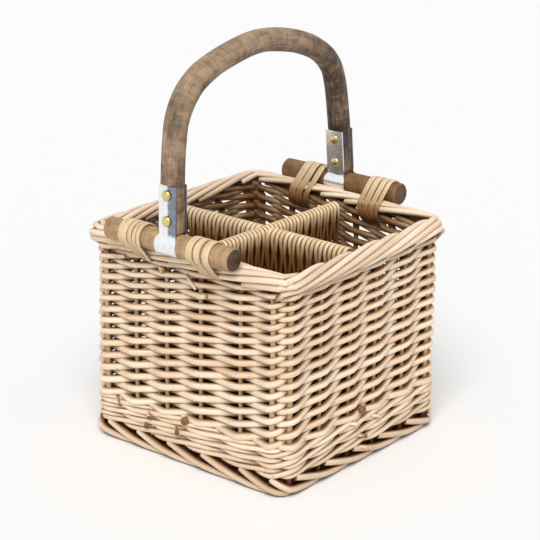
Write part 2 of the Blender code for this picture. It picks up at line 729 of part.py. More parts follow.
def build_handle():
    """Bail, straps and rivets, which slide together along the two rods."""
    slide = bpy.data.objects.new("handle_slide", None)
    slide.location = (sum(strap_places()) / 2, 0, rod_height)
    bpy.context.scene.collection.objects.link(slide)
    to_slide = Matrix.Translation(-slide.location)

    bail = add_object("bail", bail_mesh(), BAIL_WOOD, 0.7)
    bail.parent = slide
    bail.location = -slide.location

    leaf = strap_mesh()
    rivet = rivet_mesh()
    shank = RIVET_SHANK_DIAMETER / 2
    for name, frame in leg_frames():
        strap = add_object(f"{name}_strap", leaf, STEEL, 0.3, 1.0)
        strap.parent = slide
        strap.matrix_local = to_slide @ frame
        wall = strap.modifiers.new("thickness", "SOLIDIFY")
        wall.thickness = STRAP_THICKNESS
        wall.offset = 0
        wall.use_even_offset = True

        bm = bmesh.new()
        flat = LEG_FLAT_THICKNESS / 2
        reach = BAIL_DIAMETER / 2 + OVERRUN
        top = STRAP_RISE + LEG_SHOULDER_RELIEF
        for facing in (-1, 1):
            near, far = sorted((facing * flat, facing * reach))
            add_box(bm, (-reach, near, 0), (reach, far, top))
        flats = make_cutter(bm, f"{name}_leg_flats")
        flats.matrix_world = frame
        cut(bail, flats)

        bm = bmesh.new()
        for count in range(2):
            height = RIVET_LOW + count * RIVET_SPACING
            start = (0, -reach, height)
            end = (0, reach, height)
            add_cylinder(bm, start, end, bore_radius(shank, RIVET_SIDES), RIVET_SIDES)
        bores = make_cutter(bm, f"{name}_rivet_bores")
        bores.matrix_world = frame
        cut(bail, bores)
        cut(strap, bores)

        for count, place in enumerate(("lower", "upper")):
            pin = add_object(f"{name}_rivet_{place}", rivet, BRASS, 0.3, 1.0)
            pin.parent = strap
            pin.location.z = RIVET_LOW + count * RIVET_SPACING


def build_basket():
    past = rim_half + OVERRUN
    long_start = (LONG_DIVIDER_X, -past, long_low_bar_height)
    long_end = (LONG_DIVIDER_X, past, long_low_bar_height)
    long_low_bore = bar_bore("long_low_bore", long_start, long_end, LOW_BAR_DIAMETER)
    cross_start = (-past, CROSS_DIVIDER_Y, cross_low_bar_height)
    cross_end = (past, CROSS_DIVIDER_Y, cross_low_bar_height)
    cross_low_bore = bar_bore("cross_low_bore", cross_start, cross_end, LOW_BAR_DIAMETER)
    stakes = stake_bores()
    notches = lashing_notches()

    build_foot()
    build_base()
    build_stakes()
    build_wale(stakes)
    siding_cutters = {
        "front": (stakes, long_low_bore, notches),
        "back": (stakes, long_low_bore, notches),
        "right": (stakes, cross_low_bore),
        "left": (stakes, cross_low_bore),
    }
    build_siding(siding_cutters)
    build_rim()
    build_dividers(long_low_bore, cross_low_bore)
    build_bars()
    build_rods()
    build_lashings()


def main():
    for old in list(bpy.data.objects):
        bpy.data.objects.remove(old)
    build_basket()
    build_handle()


main()
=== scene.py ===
"""Willow bottle basket with a bent bail: its woven rods, wood, cane, sheet metal and brass.

Metres, +Z up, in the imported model's frame. The front wall faces -Y and the right wall +X.
Places on a wall are given as (along, out, height): along is measured round the basket on the line of the
stakes, from the middle of the front wall towards the right, and out from that line outwards.
"""

import math
import random

import bmesh
import bpy
from mathutils import Matrix, Vector, noise


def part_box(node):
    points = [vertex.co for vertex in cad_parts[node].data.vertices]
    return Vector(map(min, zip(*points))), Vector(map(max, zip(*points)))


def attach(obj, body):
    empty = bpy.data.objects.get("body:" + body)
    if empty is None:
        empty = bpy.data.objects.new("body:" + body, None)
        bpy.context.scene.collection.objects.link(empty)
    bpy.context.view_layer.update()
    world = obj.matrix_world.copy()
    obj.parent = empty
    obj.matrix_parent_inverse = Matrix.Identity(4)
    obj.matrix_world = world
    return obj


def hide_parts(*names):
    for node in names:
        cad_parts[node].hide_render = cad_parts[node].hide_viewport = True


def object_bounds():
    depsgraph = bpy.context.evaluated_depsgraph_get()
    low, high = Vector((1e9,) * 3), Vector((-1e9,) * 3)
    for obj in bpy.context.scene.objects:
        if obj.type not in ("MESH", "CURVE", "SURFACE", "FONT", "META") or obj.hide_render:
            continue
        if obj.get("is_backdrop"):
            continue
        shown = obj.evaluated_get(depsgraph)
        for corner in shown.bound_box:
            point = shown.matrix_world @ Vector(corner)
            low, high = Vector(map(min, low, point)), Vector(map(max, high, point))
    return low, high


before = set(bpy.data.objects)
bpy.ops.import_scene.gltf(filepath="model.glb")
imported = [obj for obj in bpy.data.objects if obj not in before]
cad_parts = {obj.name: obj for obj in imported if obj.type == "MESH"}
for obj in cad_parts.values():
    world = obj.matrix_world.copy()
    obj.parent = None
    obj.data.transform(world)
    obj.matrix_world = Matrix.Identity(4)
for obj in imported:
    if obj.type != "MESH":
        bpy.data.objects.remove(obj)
cad_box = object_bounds()
NOISE_SEED = 29
noise.seed_set(NOISE_SEED)  # without it, the wobble of the rods is another one in each run

bl_info = {
    "name": "Willow bottle basket",
    "version": (1, 0, 0),
    "blender": (4, 5, 0),
    "location": "View3D > Sidebar > Basket",
    "description": "Weaves a four-bottle willow basket and hangs its bent bail",
    "category": "Object",
}


def node_middle(node):
    low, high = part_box(node)
    return (Vector(low) + Vector(high)) / 2


def node_size(node):
    low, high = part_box(node)
    return Vector(high) - Vector(low)


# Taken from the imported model
first_stake = node_middle("stake_front_1")
stake_line = -first_stake.y
stake_reach = -first_stake.x
stake_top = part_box("stake_front_1")[1][2]
stake_diameter = node_size("stake_front_1").x
STAKES_PER_WALL = 6
WALLS = 4
stake_pitch = 2 * stake_reach / (STAKES_PER_WALL - 1)
stake_count = STAKES_PER_WALL * WALLS
foot_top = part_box("foot_border")[1][2]
siding_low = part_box("siding_front")[0][2]
siding_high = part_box("siding_front")[1][2]
rim_middle = node_middle("rim_front")
rim_height = rim_middle.z
rim_radius = node_size("rim_front").z / 2
base_low, base_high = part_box("base_weave")
panel_half = node_size("divider_long").y / 2
panel_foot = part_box("divider_long")[0][2]
panel_thickness = node_size("divider_long").x
front_rod = node_middle("front_rod")
back_rod = node_middle("back_rod")
rod_radius = node_size("front_rod").z / 2
front_strap = node_middle("front_strap")
back_strap = node_middle("back_strap")
loop_width = node_size("front_strap").x
strap_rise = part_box("front_strap")[1][2] - front_rod.z
rivet_heights = [node_middle(f"front_rivet_{place}").z - front_rod.z for place in ("lower", "upper")]
rivet_reach = node_size("front_rivet_lower").y / 2
rivet_head_radius = node_size("front_rivet_lower").x / 2
lashing_width = node_size("front_lashing_left").x

# The line of the stakes
CORNER_ROUND = 0.0115
straight_half = stake_line - CORNER_ROUND
wall_run = 2 * straight_half + CORNER_ROUND * math.pi / 2
full_round = WALLS * wall_run
# How far each hand-set stake stands off its even place, wall by wall.
STAKE_SHIFTS = (
    (0.0010, -0.0023, -0.0046, -0.0042, 0.0018, -0.0018),
    (-0.0014, -0.0009, 0.0008, -0.0016, 0.0018, -0.0005),
    (0.0008, -0.0014, 0.0020, -0.0018, 0.0009, -0.0011),
    (-0.0012, 0.0017, -0.0008, 0.0021, -0.0015, 0.0006),
)
STAKE_STEPS = 40

# Rods in general
ROD_SIDES = 10
THIN_ROD_SIDES = 8
FAT_ROD_SIDES = 36
END_SOFTENING_SHARE = 0.22
WOBBLE_WAVE = 0.055
WEAVER_WOBBLE = 0.0004
SEEDS_PER_METRE = 100  # a length times this is the seed of a rod that has no random one
TINTS_PER_METRE = 10  # tells the tones of the loose ends apart
FAR_APART = 7.0  # between the grain places of two rods
SHARP_ANGLE = math.radians(50)  # edges that turn more than this stay sharp

# Painted shade on the weave, browner where it falls: inwards from a little outside the line of the stakes,
# and along the edges of each rod, where it touches the next
PAINTED_SHADE_START = 0.0020
PAINTED_SHADE_DEPTH = 0.0090
PAINTED_SHADE_TOP_DEPTH = 0.013
EDGE_FACING_SHARE = 0.70
EDGE_SOFTNESS_SHARE = 0.42
EDGE_SHARE = 0.95
INSIDE_SHARE = 0.85
# Darker towards the bottom of the walls, by up to this much
LOW_SHADE = 0.38
# Painted shadow under the rim, by up to this much, over this depth
UNDER_RIM_SHADE = 0.25
UNDER_RIM_DEPTH = 0.016
# Painted shade on cut ends that stick out of the wale
CUT_END_SHADE = 0.4
# Painted shade on the inner side of the lashings
LASHING_SHADE = 0.7
WALE_FACE = 0.0086  # what stands further out than this from the wale is a cut end, darkened with painted shade
STAKE_FACE = 0.0033  # below the wale, what lies no further out than this is dark with painted shade
# Deep inside, from this far below the rim, the painted shade is browner still
DEEP_START = 0.012
DEEP_RUN = 0.036

# Siding
ROWS = 13
STEPS_PER_STAKE = 12
KINK_SHARE = 0.985  # 1 for a sharp kink at each stake, less for a rounder one
PITCH_EASE = 0.147
WEAVE_PRESS = 0.0003
SIDING_FIRST_ABOVE = 0.0034
SIDING_LAST_BELOW = -0.0008
SIDING_THICKNESS_SHARES = (0.92, 1.07)
SIDING_SWELL_SHARE = 0.06

# Loose ends under the front rim, as (along, height) from and to, and radius
LOOSE_ENDS = (
    ((-0.0300, 0.1764), (-0.0220, 0.1756), 0.0027),
    ((-0.0814, 0.1754), (-0.0668, 0.1785), 0.0016),
    ((0.0017, 0.1764), (0.0158, 0.1676), 0.0015),
    ((0.0130, 0.1590), (0.0270, 0.1640), 0.0026),
)
LOOSE_OUT = 0.0078

# Unevenness of the hand-made bands, highest at the right wall's far end
BAND_RISE = 0.0018
BAND_PEAK_ALONG = 0.30
BAND_MEAN_RISE = 0.0045
FOOT_RISE = 0.0004
WALE_ABOVE_FOOT = 0.0034

# Wale
WALE_ROUNDS = 3
WALE_RODS = 3
WALE_SLOT_SHARE = 0.27
WALE_OVERLAP = 1.35
WALE_STUB = 0.0025
WALE_BUTT_SHARE = 1.05
WALE_TAPER_SHARE = 0.22
# Cut ends that stick out of the wale, as (place counted in stakes, height)
WALE_ENDS = (
    (0.57, 0.0407),
    (1.63, 0.0387),
    (1.53, 0.0279),
    (2.50, 0.0319),
    (8.05, 0.0433),
    (8.46, 0.0270),
    (8.46, 0.0162),
    (8.95, 0.0403),
    (14.4, 0.0330),
    (20.5, 0.0350),
)
WALE_END_LENGTH = 0.010
WALE_END_OUT = 0.0105
WALE_END_SHARE = 0.8  # how thick a cut end is, of a wale rod
# Where the rods of each round start, counted in stakes
WALE_STARTS = ((1.5, 8.45, 15.5), (1.55, 8.5, 18.5), (0.55, 2.5, 7.6))

# Foot border
FOOT_PATH_SHARES = (0.10, 0.25, 0.60, 1.0, 1.45, 1.9, 2.3)
FOOT_OUT = (0.0040, 0.0046, 0.0055, 0.0052, 0.0040, 0.0020, -0.0020)
FOOT_HEIGHTS = (0.0158, 0.0142, 0.0106, 0.0066, 0.0042, 0.0034, 0.0033)
FOOT_RADII = (0.0028, 0.0030, 0.0031, 0.0031, 0.0030, 0.0028, 0.0026)
FOOT_STEPS = 5
# The border's inner rods, behind the stakes: out from the line of the stakes, and height
FOOT_INNER_PLACES = ((-0.0062, 0.0040), (-0.0058, 0.0104))
FOOT_INNER_RADIUS = 0.0034
FOOT_INNER_STEPS = 4  # to a stake

# Rim
RIM_ROD_RADIUS = 0.0030
RIM_RING_RADIUS = 0.0072
RIM_TWIST = math.radians(42)
RIM_START_ANGLE = math.radians(-62)
RIM_END_SPREAD = math.radians(14)
# Where a border rod's tip lies: how far round the rim, on each wall
RIM_END_ANGLES = (math.radians(145), math.radians(112), math.radians(150), math.radians(200))
RIM_RUN_STAKES = 4
RIM_STEP = 0.0085
RIM_TUCK_SHARE = 0.25  # how far a rod's tip sinks in between the others
RIM_TIP_SHARE = 0.14
RIM_LEAN = 0.0028
RIM_POINT_SHARE = 0.75  # 1 for square corners, 0 for round ones
RIM_THICKNESS_SHARES = (0.94, 1.06)
RIM_BUTT_SHARE = 1.04
RIM_TAPER_SHARE = 0.16
STAKE_BEND = 0.0075

# Dividers
LOOP_PITCH = 0.0049
LOOP_RADIUS = 0.0022
LOOP_BEND_STEPS = 8
LEG_RADIUS = 0.0017
LOOP_SLANT = 0.0012
LEG_WAVE = 0.0018
LEG_WAVE_LENGTH = 0.046
LEG_STEP = 0.012
# How dark a rod's tone is at its top, at most, and how much painted shade darkens its legs lower down
LOOP_TINT = 0.4
LEG_PAINTED_SHADE = 0.9
# Painted shade on the bar ends, and how strong the painted shade between the loops is
BAR_END_SHADE = 1.05
LOOP_EDGE_SHARE = 1.6
BAR_SIDES = 18
BAR_STEPS = 12
BAR_TINT = 50
CROSSING_HALF = 0.0048

# Base
BASE_WEAVER_RADIUS = 0.0016
BASE_WEAVER_PITCH = 0.0041
BASE_WEAVER_STEPS = 24
BASE_THICKNESS_SHARES = (0.92, 1.06)
BASE_STICK_RADIUS = 0.0031
BASE_STICK_STEPS = 8
BASE_STICKS = 3

# Perch rods
ROD_THICKNESS_SHARES = {
    "front_rod": (0.93, 0.92, 0.95, 0.97, 0.98, 0.99, 1.0),
    "back_rod": (0.99, 1.0, 0.98, 0.97, 0.98, 0.99, 1.0),
}
ROD_STEPS = 28
ROD_END_SHARE = 0.11
ROD_TINT = 0.35

# Lashings
CANE_HALF_THICKNESS = 0.0007
CANE_CLEARANCE = 0.0004
CANE_SIDES = 12
CANE_SQUARE_SHARE = 0.45
CANE_LAYERS = 4  # how far a pinched turn lies over the next, in half thicknesses
WRAP_STEPS = 12
WRAP_START = math.radians(-111.6)  # under the rim, where a turn begins and ends
# How close a lashing's turns come together under the rim
LASHING_PINCH_SHARES = {"front_lashing_left": 0.45}
PINCH_SHARE = 0.75
# How far its turns slant sideways between the rod and the underside of the rim
LASHING_SLANTS = {
    "front_lashing_left": -0.002,
    "front_lashing_right": -0.007,
    "back_lashing_left": 0,
    "back_lashing_right": 0.005,
}
# Turns of each lashing, as the edges of the cane in shares of the lashing's width.
LASHING_TURN_SHARES = {
    "front_lashing_left": ((-0.50, -0.10), (-0.06, 0.12), (0.16, 0.31), (0.35, 0.50)),
    "front_lashing_right": ((-0.50, -0.22), (-0.15, 0.13), (0.20, 0.50)),
    "back_lashing_left": ((-0.50, -0.17), (-0.12, 0.16), (0.26, 0.50)),
    "back_lashing_right": ((-0.50, -0.30), (-0.25, 0.00), (0.05, 0.28), (0.33, 0.50)),
}

# Bail and straps
BACK_LEG_LEAN = math.radians(6)
BAIL_RADIUS = 0.01025
BAIL_SEAT_GAP = 0.0005  # how far the bail's ends stay off the rods
BAIL_SHOULDER = 0.290
BAIL_TOP = 0.3602
BAIL_STEPS = 9
LEG_FLAT = 0.0124
LEG_STEPS = 8
SHOULDER_RELIEF = 0.001
SHOULDER_STEP = 0.0006
# Points of the arch: across from -1 at the front rod to 1 at the back rod, up from shoulder to top
ARCH_SHARES = (
    (-0.985, 0.0),
    (-0.950, 0.33),
    (-0.842, 0.612),
    (-0.668, 0.80),
    (-0.398, 0.93),
    (-0.060, 1.0),
    (0.290, 0.915),
    (0.580, 0.750),
    (0.780, 0.520),
    (0.880, 0.210),
)
BAIL_THICKNESS_SHARES = (1.0, 1.0, 1.01, 1.05, 1.06, 1.02, 1.0, 1.01, 1.0, 0.98, 1.0, 1.0)
BAIL_SWELL_SHARE = 0.03
BAIL_SEED = 2.0
BAIL_GRAIN = 1.5
# How dark the stick's wood is, from the front leg's foot to the back leg's
BAIL_TINTS = (0.50, 0.42, 0.40, 0.30, 0.25, 0.28, 0.40, 0.65, 0.85, 0.90, 0.90)
BAIL_SHARP_ANGLE = math.radians(38)
STRAP_THICKNESS = 0.0012
STRAP_FIT = 0.0003
LEAF_WIDTH = 0.019
FLARE_ANGLE = math.radians(35)
STRAP_COLUMNS = 14
STRAP_ROWS = 84
NECK_RUN = 0.003  # how far the neck between leaf and loop reaches
NECK_SHARE = 0.05  # how much narrower the strip is there
RIDGE_HEIGHT = 0.0007
RIDGE_SHARE = 0.05
CREASE_DEPTH = 0.0009
# Dents and stains: where across the strip and how far past the neck, and how wide and how long
CREASE = (0.10, 0.0015, 0.07, 0.0022)
BUCKLE = (-0.34, 0.001, 0.08, 0.003)
BACK_STAIN = (0.02, -0.003, 0.24, 0.012)
BACK_STAIN_DEPTH = 0.4
# The front strap is darkened with painted shade and dark reflection from here across, over this share of its
# width
FRONT_SHADE_START_SHARE = 0.03
FRONT_SHADE_EDGE_SHARE = 0.05
DOME_STEPS = 7
RIVET_SIDES = 28
RIVET_SHANK_RADIUS = 0.002
RIVET_RIM_SHARE = 0.96
RIVET_BRIGHT_SHARE = 0.55  # of the head's radius, from where on a dark reflection is painted
RIVET_REFLECTION_DARKENING = 1.2

# Finishes: each one's pale and deep colour, in screen values from 0 to 255
SCREEN_COLOURS = {
    "willow": ((246, 227, 202), (214, 180, 140)),
    "cut_willow": ((238, 214, 160), (176, 130, 82)),
    "stake": ((238, 210, 166), (206, 170, 120)),
    "divider": ((240, 216, 178), (204, 166, 120)),
    "cane": ((236, 212, 172), (184, 146, 98)),
    "front_rod": ((190, 158, 118), (134, 102, 70)),
    "back_rod": ((138, 102, 62), (84, 57, 32)),
    "rod_end": ((98, 72, 46), (30, 20, 12)),
    "bail": ((168, 140, 111), (62, 46, 34)),
    # The strap's deep colour is painted shade and dark reflection on the front strap, and a stain on the back
    # strap
    "strap": ((240, 241, 243), (128, 136, 148)),
    # The brass's deep colour is a painted dark reflection towards the rims of the domes
    "brass": ((222, 200, 138), (150, 122, 62)),
}


def linear(red, green, blue):
    """A colour given in screen values from 0 to 255, as linear light."""

    def one(value):
        share = value / 255
        return share / 12.92 if share <= 0.04045 else ((share + 0.055) / 1.055) ** 2.4

    return (one(red), one(green), one(blue))


def length_setting(label, description, default):
    return bpy.props.FloatProperty(name=label, description=description, default=default, unit="LENGTH")


def colour_settings():
    """A pale and a deep colour for each finish."""
    settings = {}
    for finish, screen_colours in SCREEN_COLOURS.items():
        plain = finish.replace("_", " ")
        for depth, most, screen_colour in zip(("pale", "deep"), ("Lightest", "Darkest"), screen_colours):
            settings[f"{finish}_{depth}"] = bpy.props.FloatVectorProperty(
                name=f"{plain.capitalize()}, {depth}",
                description=f"{most} colour of the {plain}",
                default=linear(*screen_colour),
                subtype="COLOR",
            )
    return settings


class BasketSizes(bpy.types.PropertyGroup):
    """Sizes that a basket maker would choose."""

    weaver_butt: length_setting("Weaver butt", "Thickness of a siding rod where it starts", 0.0068)
    weaver_tip: length_setting("Weaver tip", "Thickness of a siding rod under the rim", 0.0051)
    stake: length_setting("Stake", "Thickness of the uprights", stake_diameter)
    corner_stake: length_setting("Corner stake", "Thickness of the uprights next to a corner", 0.0060)
    wale_rod: length_setting("Wale rod", "Thickness of the rods of the wale", 0.0050)


class BasketColours(bpy.types.PropertyGroup):
    """Colours of the basket's materials."""

    __annotations__ = colour_settings()


def finish_colours(finish):
    """The pale and the deep colour that are set for a finish."""
    settings = bpy.context.scene.basket_colours
    return [(*getattr(settings, f"{finish}_{depth}"), 1.0) for depth in ("pale", "deep")]


# Node trees


def add_node(tree, kind, inputs=None, **settings):
    """A shader node with its settings, its sockets set to values or linked to other sockets."""
    node = tree.nodes.new(kind)
    for name, value in settings.items():
        setattr(node, name, value)
    for key, value in (inputs or {}).items():
        if isinstance(value, bpy.types.NodeSocket):
            tree.links.new(value, node.inputs[key])
        else:
            node.inputs[key].default_value = value
    return node


def blend_colours(tree, factor, first, second, blend_type="MIX"):
    inputs = {0: factor, 6: first, 7: second}
    return add_node(tree, "ShaderNodeMix", inputs, data_type="RGBA", blend_type=blend_type).outputs[2]


def arithmetic(tree, operation, first, second=0.0, clamp=False):
    node = add_node(tree, "ShaderNodeMath", {0: first, 1: second}, operation=operation, use_clamp=clamp)
    return node.outputs[0]


def spread(tree, value, low, high, span):
    """The value with its span, from lowest to highest, stretched to run from low to high."""
    inputs = {"Value": value, "From Min": span[0], "From Max": span[1], "To Min": low, "To Max": high}
    return add_node(tree, "ShaderNodeMapRange", inputs).outputs[0]


def add_up(tree, *values):
    """The sum of the values, held between 0 and 1."""
    total = values[0]
    for value in values[1:-1]:
        total = arithmetic(tree, "ADD", total, value)
    return arithmetic(tree, "ADD", total, values[-1], clamp=True)


def stain(tree, share, body, tone):
    """The body colour, multiplied by the tone as far as the share says."""
    return blend_colours(tree, share, body, blend_colours(tree, 1.0, body, tone, "MULTIPLY"))


# Patterns of noise: how often they change in a metre along and across, their detail and their roughness
PATTERNS = {
    "streak": (24.0, 900.0, 3.0, 0.6),
    "patch": (16.0, 110.0, 2.0, 0.5),
    "blush": (9.0, 30.0, 1.0, 0.5),
    "speck": (420.0, 760.0, 0.0, 0.5),
    "blotch": (38.0, 90.0, 4.0, 0.6),
    "bars": (190.0, 60.0, 3.0, 0.55),
    "fibre": (60.0, 1100.0, 3.0, 0.65),
    "pore": (240.0, 900.0, 1.0, 0.5),
    "strap_cloud": (260.0, 260.0, 3.0, 0.6),
    "strap_scuff": (2340.0, 2340.0, 2.0, 0.5),
    "brass_cloud": (420.0, 420.0, 3.0, 0.6),
    "brass_scuff": (3780.0, 3780.0, 2.0, 0.5),
}


def patterns(tree, place, *names):
    """The noise of each of these patterns at the place."""
    made = []
    for name in names:
        along, across, detail, roughness = PATTERNS[name]
        stretch = {0: place, 1: (along, across, across)}
        scaled = add_node(tree, "ShaderNodeVectorMath", stretch, operation="MULTIPLY").outputs[0]
        inputs = {"Vector": scaled, "Scale": 1.0, "Detail": detail, "Roughness": roughness}
        made.append(add_node(tree, "ShaderNodeTexNoise", inputs).outputs[0])
    return made


def new_group(name, inputs, outputs):
    """An empty shader node group with named sockets, and its input and output nodes."""
    group = bpy.data.node_groups.new(name, "ShaderNodeTree")
    for label, kind in inputs:
        group.interface.new_socket(label, in_out="INPUT", socket_type=kind)
    for label, kind in outputs:
        group.interface.new_socket(label, in_out="OUTPUT", socket_type=kind)
    entry = group.nodes.new("NodeGroupInput")
    leave = group.nodes.new("NodeGroupOutput")
    return group, entry.outputs, leave.inputs


VECTOR = "NodeSocketVector"
NUMBER = "NodeSocketFloat"
TONE = "NodeSocketColor"
GRAIN_INPUTS = (
    ("Place", VECTOR),
    ("Tint", NUMBER),
    ("Pale", TONE),
    ("Deep", TONE),
    ("Streaks", NUMBER),
    ("Specks", NUMBER),
    ("PaintedShade", NUMBER),
)
GRAIN_OUTPUTS = (("Color", TONE), ("Height", NUMBER), ("Roughness", NUMBER))
# The tone of the painted shade
PAINTED_SHADE_TONE = (0.32, 0.19, 0.08, 1.0)
ROSY_TONE = (1.0, 0.94, 0.92, 1.0)
SPECK_TONE = (0.40, 0.30, 0.22, 1.0)
PORE_TONE = (0.45, 0.40, 0.36, 1.0)
# Spans of a noise's values: nearly all of it, its middle, and the peaks that show as spots
WIDE_SPAN = (0.3, 0.7)
MIDDLE_SPAN = (0.35, 0.65)
BLUSH_SPAN = (0.48, 0.66)
SPECK_SPAN = (0.74, 0.82)
PORE_SPAN = (0.66, 0.74)
# How far tint, patches, blotches, bars and fine lines change the tone
ROD_TINT_SHARE = 0.40
PATCH_RANGE = (-0.12, 0.30)
BLOTCH_RANGE = (-0.42, 0.42)
BARS_RANGE = (-0.2, 0.2)
LINES_RANGE = (-0.5, 0.5)
CLOUD_RANGE = (-0.22, 0.22)
ROD_ROUGHNESS = (0.42, 0.62)
STICK_ROUGHNESS = (0.55, 0.72)
# How much of the slower pattern the relief has beside the fine one
PATCH_RELIEF_SHARE = 0.6
BARS_RELIEF_SHARE = 1.5


def finish_grain(group, given, result, body, spots, relief, roughness):
    """Put spots and painted shade on the body colour and link what the grain gives."""
    peaks, span, tone = spots
    share = arithmetic(group, "MULTIPLY", spread(group, peaks, 0.0, 1.0, span), given["Specks"])
    body = stain(group, share, body, tone)
    # Painted shade, in two layers: the second for values past 1
    for past in (0.0, 1.0):
        share = arithmetic(group, "SUBTRACT", given["PaintedShade"], past, clamp=True)
        body = stain(group, share, body, PAINTED_SHADE_TONE)
    group.links.new(body, result["Color"])
    fine, slow, slow_share = relief
    height = arithmetic(group, "ADD", fine, arithmetic(group, "MULTIPLY", slow, slow_share))
    group.links.new(height, result["Height"])
    group.links.new(roughness, result["Roughness"])
    return group


def rod_grain_group():
    """Peeled rod: fine streaks along it, slow changes of tone, and small dark specks."""
    group, given, result = new_group("rod_grain", GRAIN_INPUTS, GRAIN_OUTPUTS)
    streak, patch, blush, speck = patterns(group, given["Place"], "streak", "patch", "blush", "speck")
    from_tint = arithmetic(group, "MULTIPLY", given["Tint"], ROD_TINT_SHARE)
    from_patch = spread(group, patch, *PATCH_RANGE, MIDDLE_SPAN)
    lines = spread(group, streak, *LINES_RANGE, WIDE_SPAN)
    depth = add_up(group, from_tint, from_patch, arithmetic(group, "MULTIPLY", lines, given["Streaks"]))
    body = blend_colours(group, depth, given["Pale"], given["Deep"])
    body = stain(group, spread(group, blush, 0.0, 1.0, BLUSH_SPAN), body, ROSY_TONE)
    spots = (speck, SPECK_SPAN, SPECK_TONE)
    roughness = spread(group, patch, *ROD_ROUGHNESS, WIDE_SPAN)
    return finish_grain(group, given, result, body, spots, (streak, patch, PATCH_RELIEF_SHARE), roughness)


def stick_grain_group():
    """A thick debarked stick: blotches, bars across the grain, fine fibres and dark pores."""
    group, given, result = new_group("stick_grain", GRAIN_INPUTS, GRAIN_OUTPUTS)
    blotch, bars, fibre, pore = patterns(group, given["Place"], "blotch", "bars", "fibre", "pore")
    from_blotch = spread(group, blotch, *BLOTCH_RANGE, WIDE_SPAN)
    from_bars = spread(group, bars, *BARS_RANGE, MIDDLE_SPAN)
    lines = arithmetic(group, "MULTIPLY", spread(group, fibre, *LINES_RANGE, WIDE_SPAN), given["Streaks"])
    depth = add_up(group, given["Tint"], from_blotch, from_bars, lines)
    body = blend_colours(group, depth, given["Pale"], given["Deep"])
    spots = (pore, PORE_SPAN, PORE_TONE)
    roughness = spread(group, blotch, *STICK_ROUGHNESS, WIDE_SPAN)
    return finish_grain(group, given, result, body, spots, (fibre, bars, BARS_RELIEF_SHARE), roughness)


def grain_group(name):
    makers = {"rod_grain": rod_grain_group, "stick_grain": stick_grain_group}
    return bpy.data.node_groups.get(name) or makers[name]()


def principled(name):
    made = bpy.data.materials.new(name)
    made.use_nodes = True
    return made, made.node_tree, made.node_tree.nodes["Principled BSDF"]


def attribute(tree, name, output="Fac"):
    return add_node(tree, "ShaderNodeAttribute", attribute_name=name).outputs[output]


def bump(tree, height, distance, strength=1.0):
    inputs = {"Height": height, "Distance": distance, "Strength": strength}
    return add_node(tree, "ShaderNodeBump", inputs).outputs[0]


# For each wooden material: its finish, its grain, how strong its streaks and specks are, and its relief
WOODS = {
    "willow_skin": ("willow", "rod_grain", 0.25, 0.6, 0.00012),
    "stake_skin": ("stake", "rod_grain", 0.25, 0.6, 0.00012),
    "divider_skin": ("divider", "rod_grain", 0.25, 0.4, 0.00012),
    "cut_willow": ("cut_willow", "rod_grain", 0.5, 0.6, 0.00012),
    "cane_skin": ("cane", "rod_grain", 0.7, 0.8, 0.00012),
    "front_rod_wood": ("front_rod", "stick_grain", 0.5, 0.7, 0.0002),
    "front_rod_end": ("rod_end", "stick_grain", 1.2, 1.0, 0.0004),
    "back_rod_wood": ("back_rod", "stick_grain", 0.5, 0.7, 0.0002),
    "back_rod_end": ("rod_end", "stick_grain", 1.2, 1.0, 0.0004),
    "bail_skin": ("bail", "stick_grain", 0.5, 0.7, 0.0002),
}


def wood(name):
    """The material of this name, for rods, sticks and strips that carry their own grain place and tint."""
    if name in bpy.data.materials:
        return bpy.data.materials[name]
    finish, group, streaks, specks, relief = WOODS[name]
    made, tree, shader = principled(name)
    grain = tree.nodes.new("ShaderNodeGroup")
    grain.node_tree = grain_group(group)
    tree.links.new(attribute(tree, "grain_place", "Vector"), grain.inputs["Place"])
    tree.links.new(attribute(tree, "tint"), grain.inputs["Tint"])
    tree.links.new(attribute(tree, "painted_shade"), grain.inputs["PaintedShade"])
    pale, deep = finish_colours(finish)
    grain.inputs["Pale"].default_value = pale
    grain.inputs["Deep"].default_value = deep
    grain.inputs["Streaks"].default_value = streaks
    grain.inputs["Specks"].default_value = specks
    tree.links.new(grain.outputs["Color"], shader.inputs["Base Color"])
    tree.links.new(grain.outputs["Roughness"], shader.inputs["Roughness"])
    tree.links.new(bump(tree, grain.outputs["Height"], relief), shader.inputs["Normal"])
    return made


METALLIC_SHARE = 0.8
METAL_RELIEF = 0.0003
METAL_BUMP_SHARE = 0.5
METAL_ROUGHNESS_SHARES = (0.75, 1.35)
STRAP_ROUGHNESS = 0.22
BRASS_ROUGHNESS = 0.2


def metal(name, finish, roughness):
    """Sheet metal or brass: bright where the stain and painted shade is 0, darkened where it is 1, with fine
    scuffs.
    """
    made, tree, shader = principled(name)
    place = add_node(tree, "ShaderNodeTexCoord").outputs["Object"]
    cloud, scuff = patterns(tree, place, f"{finish}_cloud", f"{finish}_scuff")
    from_cloud = spread(tree, cloud, *CLOUD_RANGE, WIDE_SPAN)
    darkened = add_up(tree, attribute(tree, "stain_and_painted_shade"), from_cloud)
    tree.links.new(blend_colours(tree, darkened, *finish_colours(finish)), shader.inputs["Base Color"])
    shader.inputs["Metallic"].default_value = METALLIC_SHARE
    smoothest, roughest = (roughness * share for share in METAL_ROUGHNESS_SHARES)
    tree.links.new(spread(tree, scuff, smoothest, roughest, WIDE_SPAN), shader.inputs["Roughness"])
    tree.links.new(bump(tree, cloud, METAL_RELIEF, METAL_BUMP_SHARE), shader.inputs["Normal"])
    return made


# Modelling


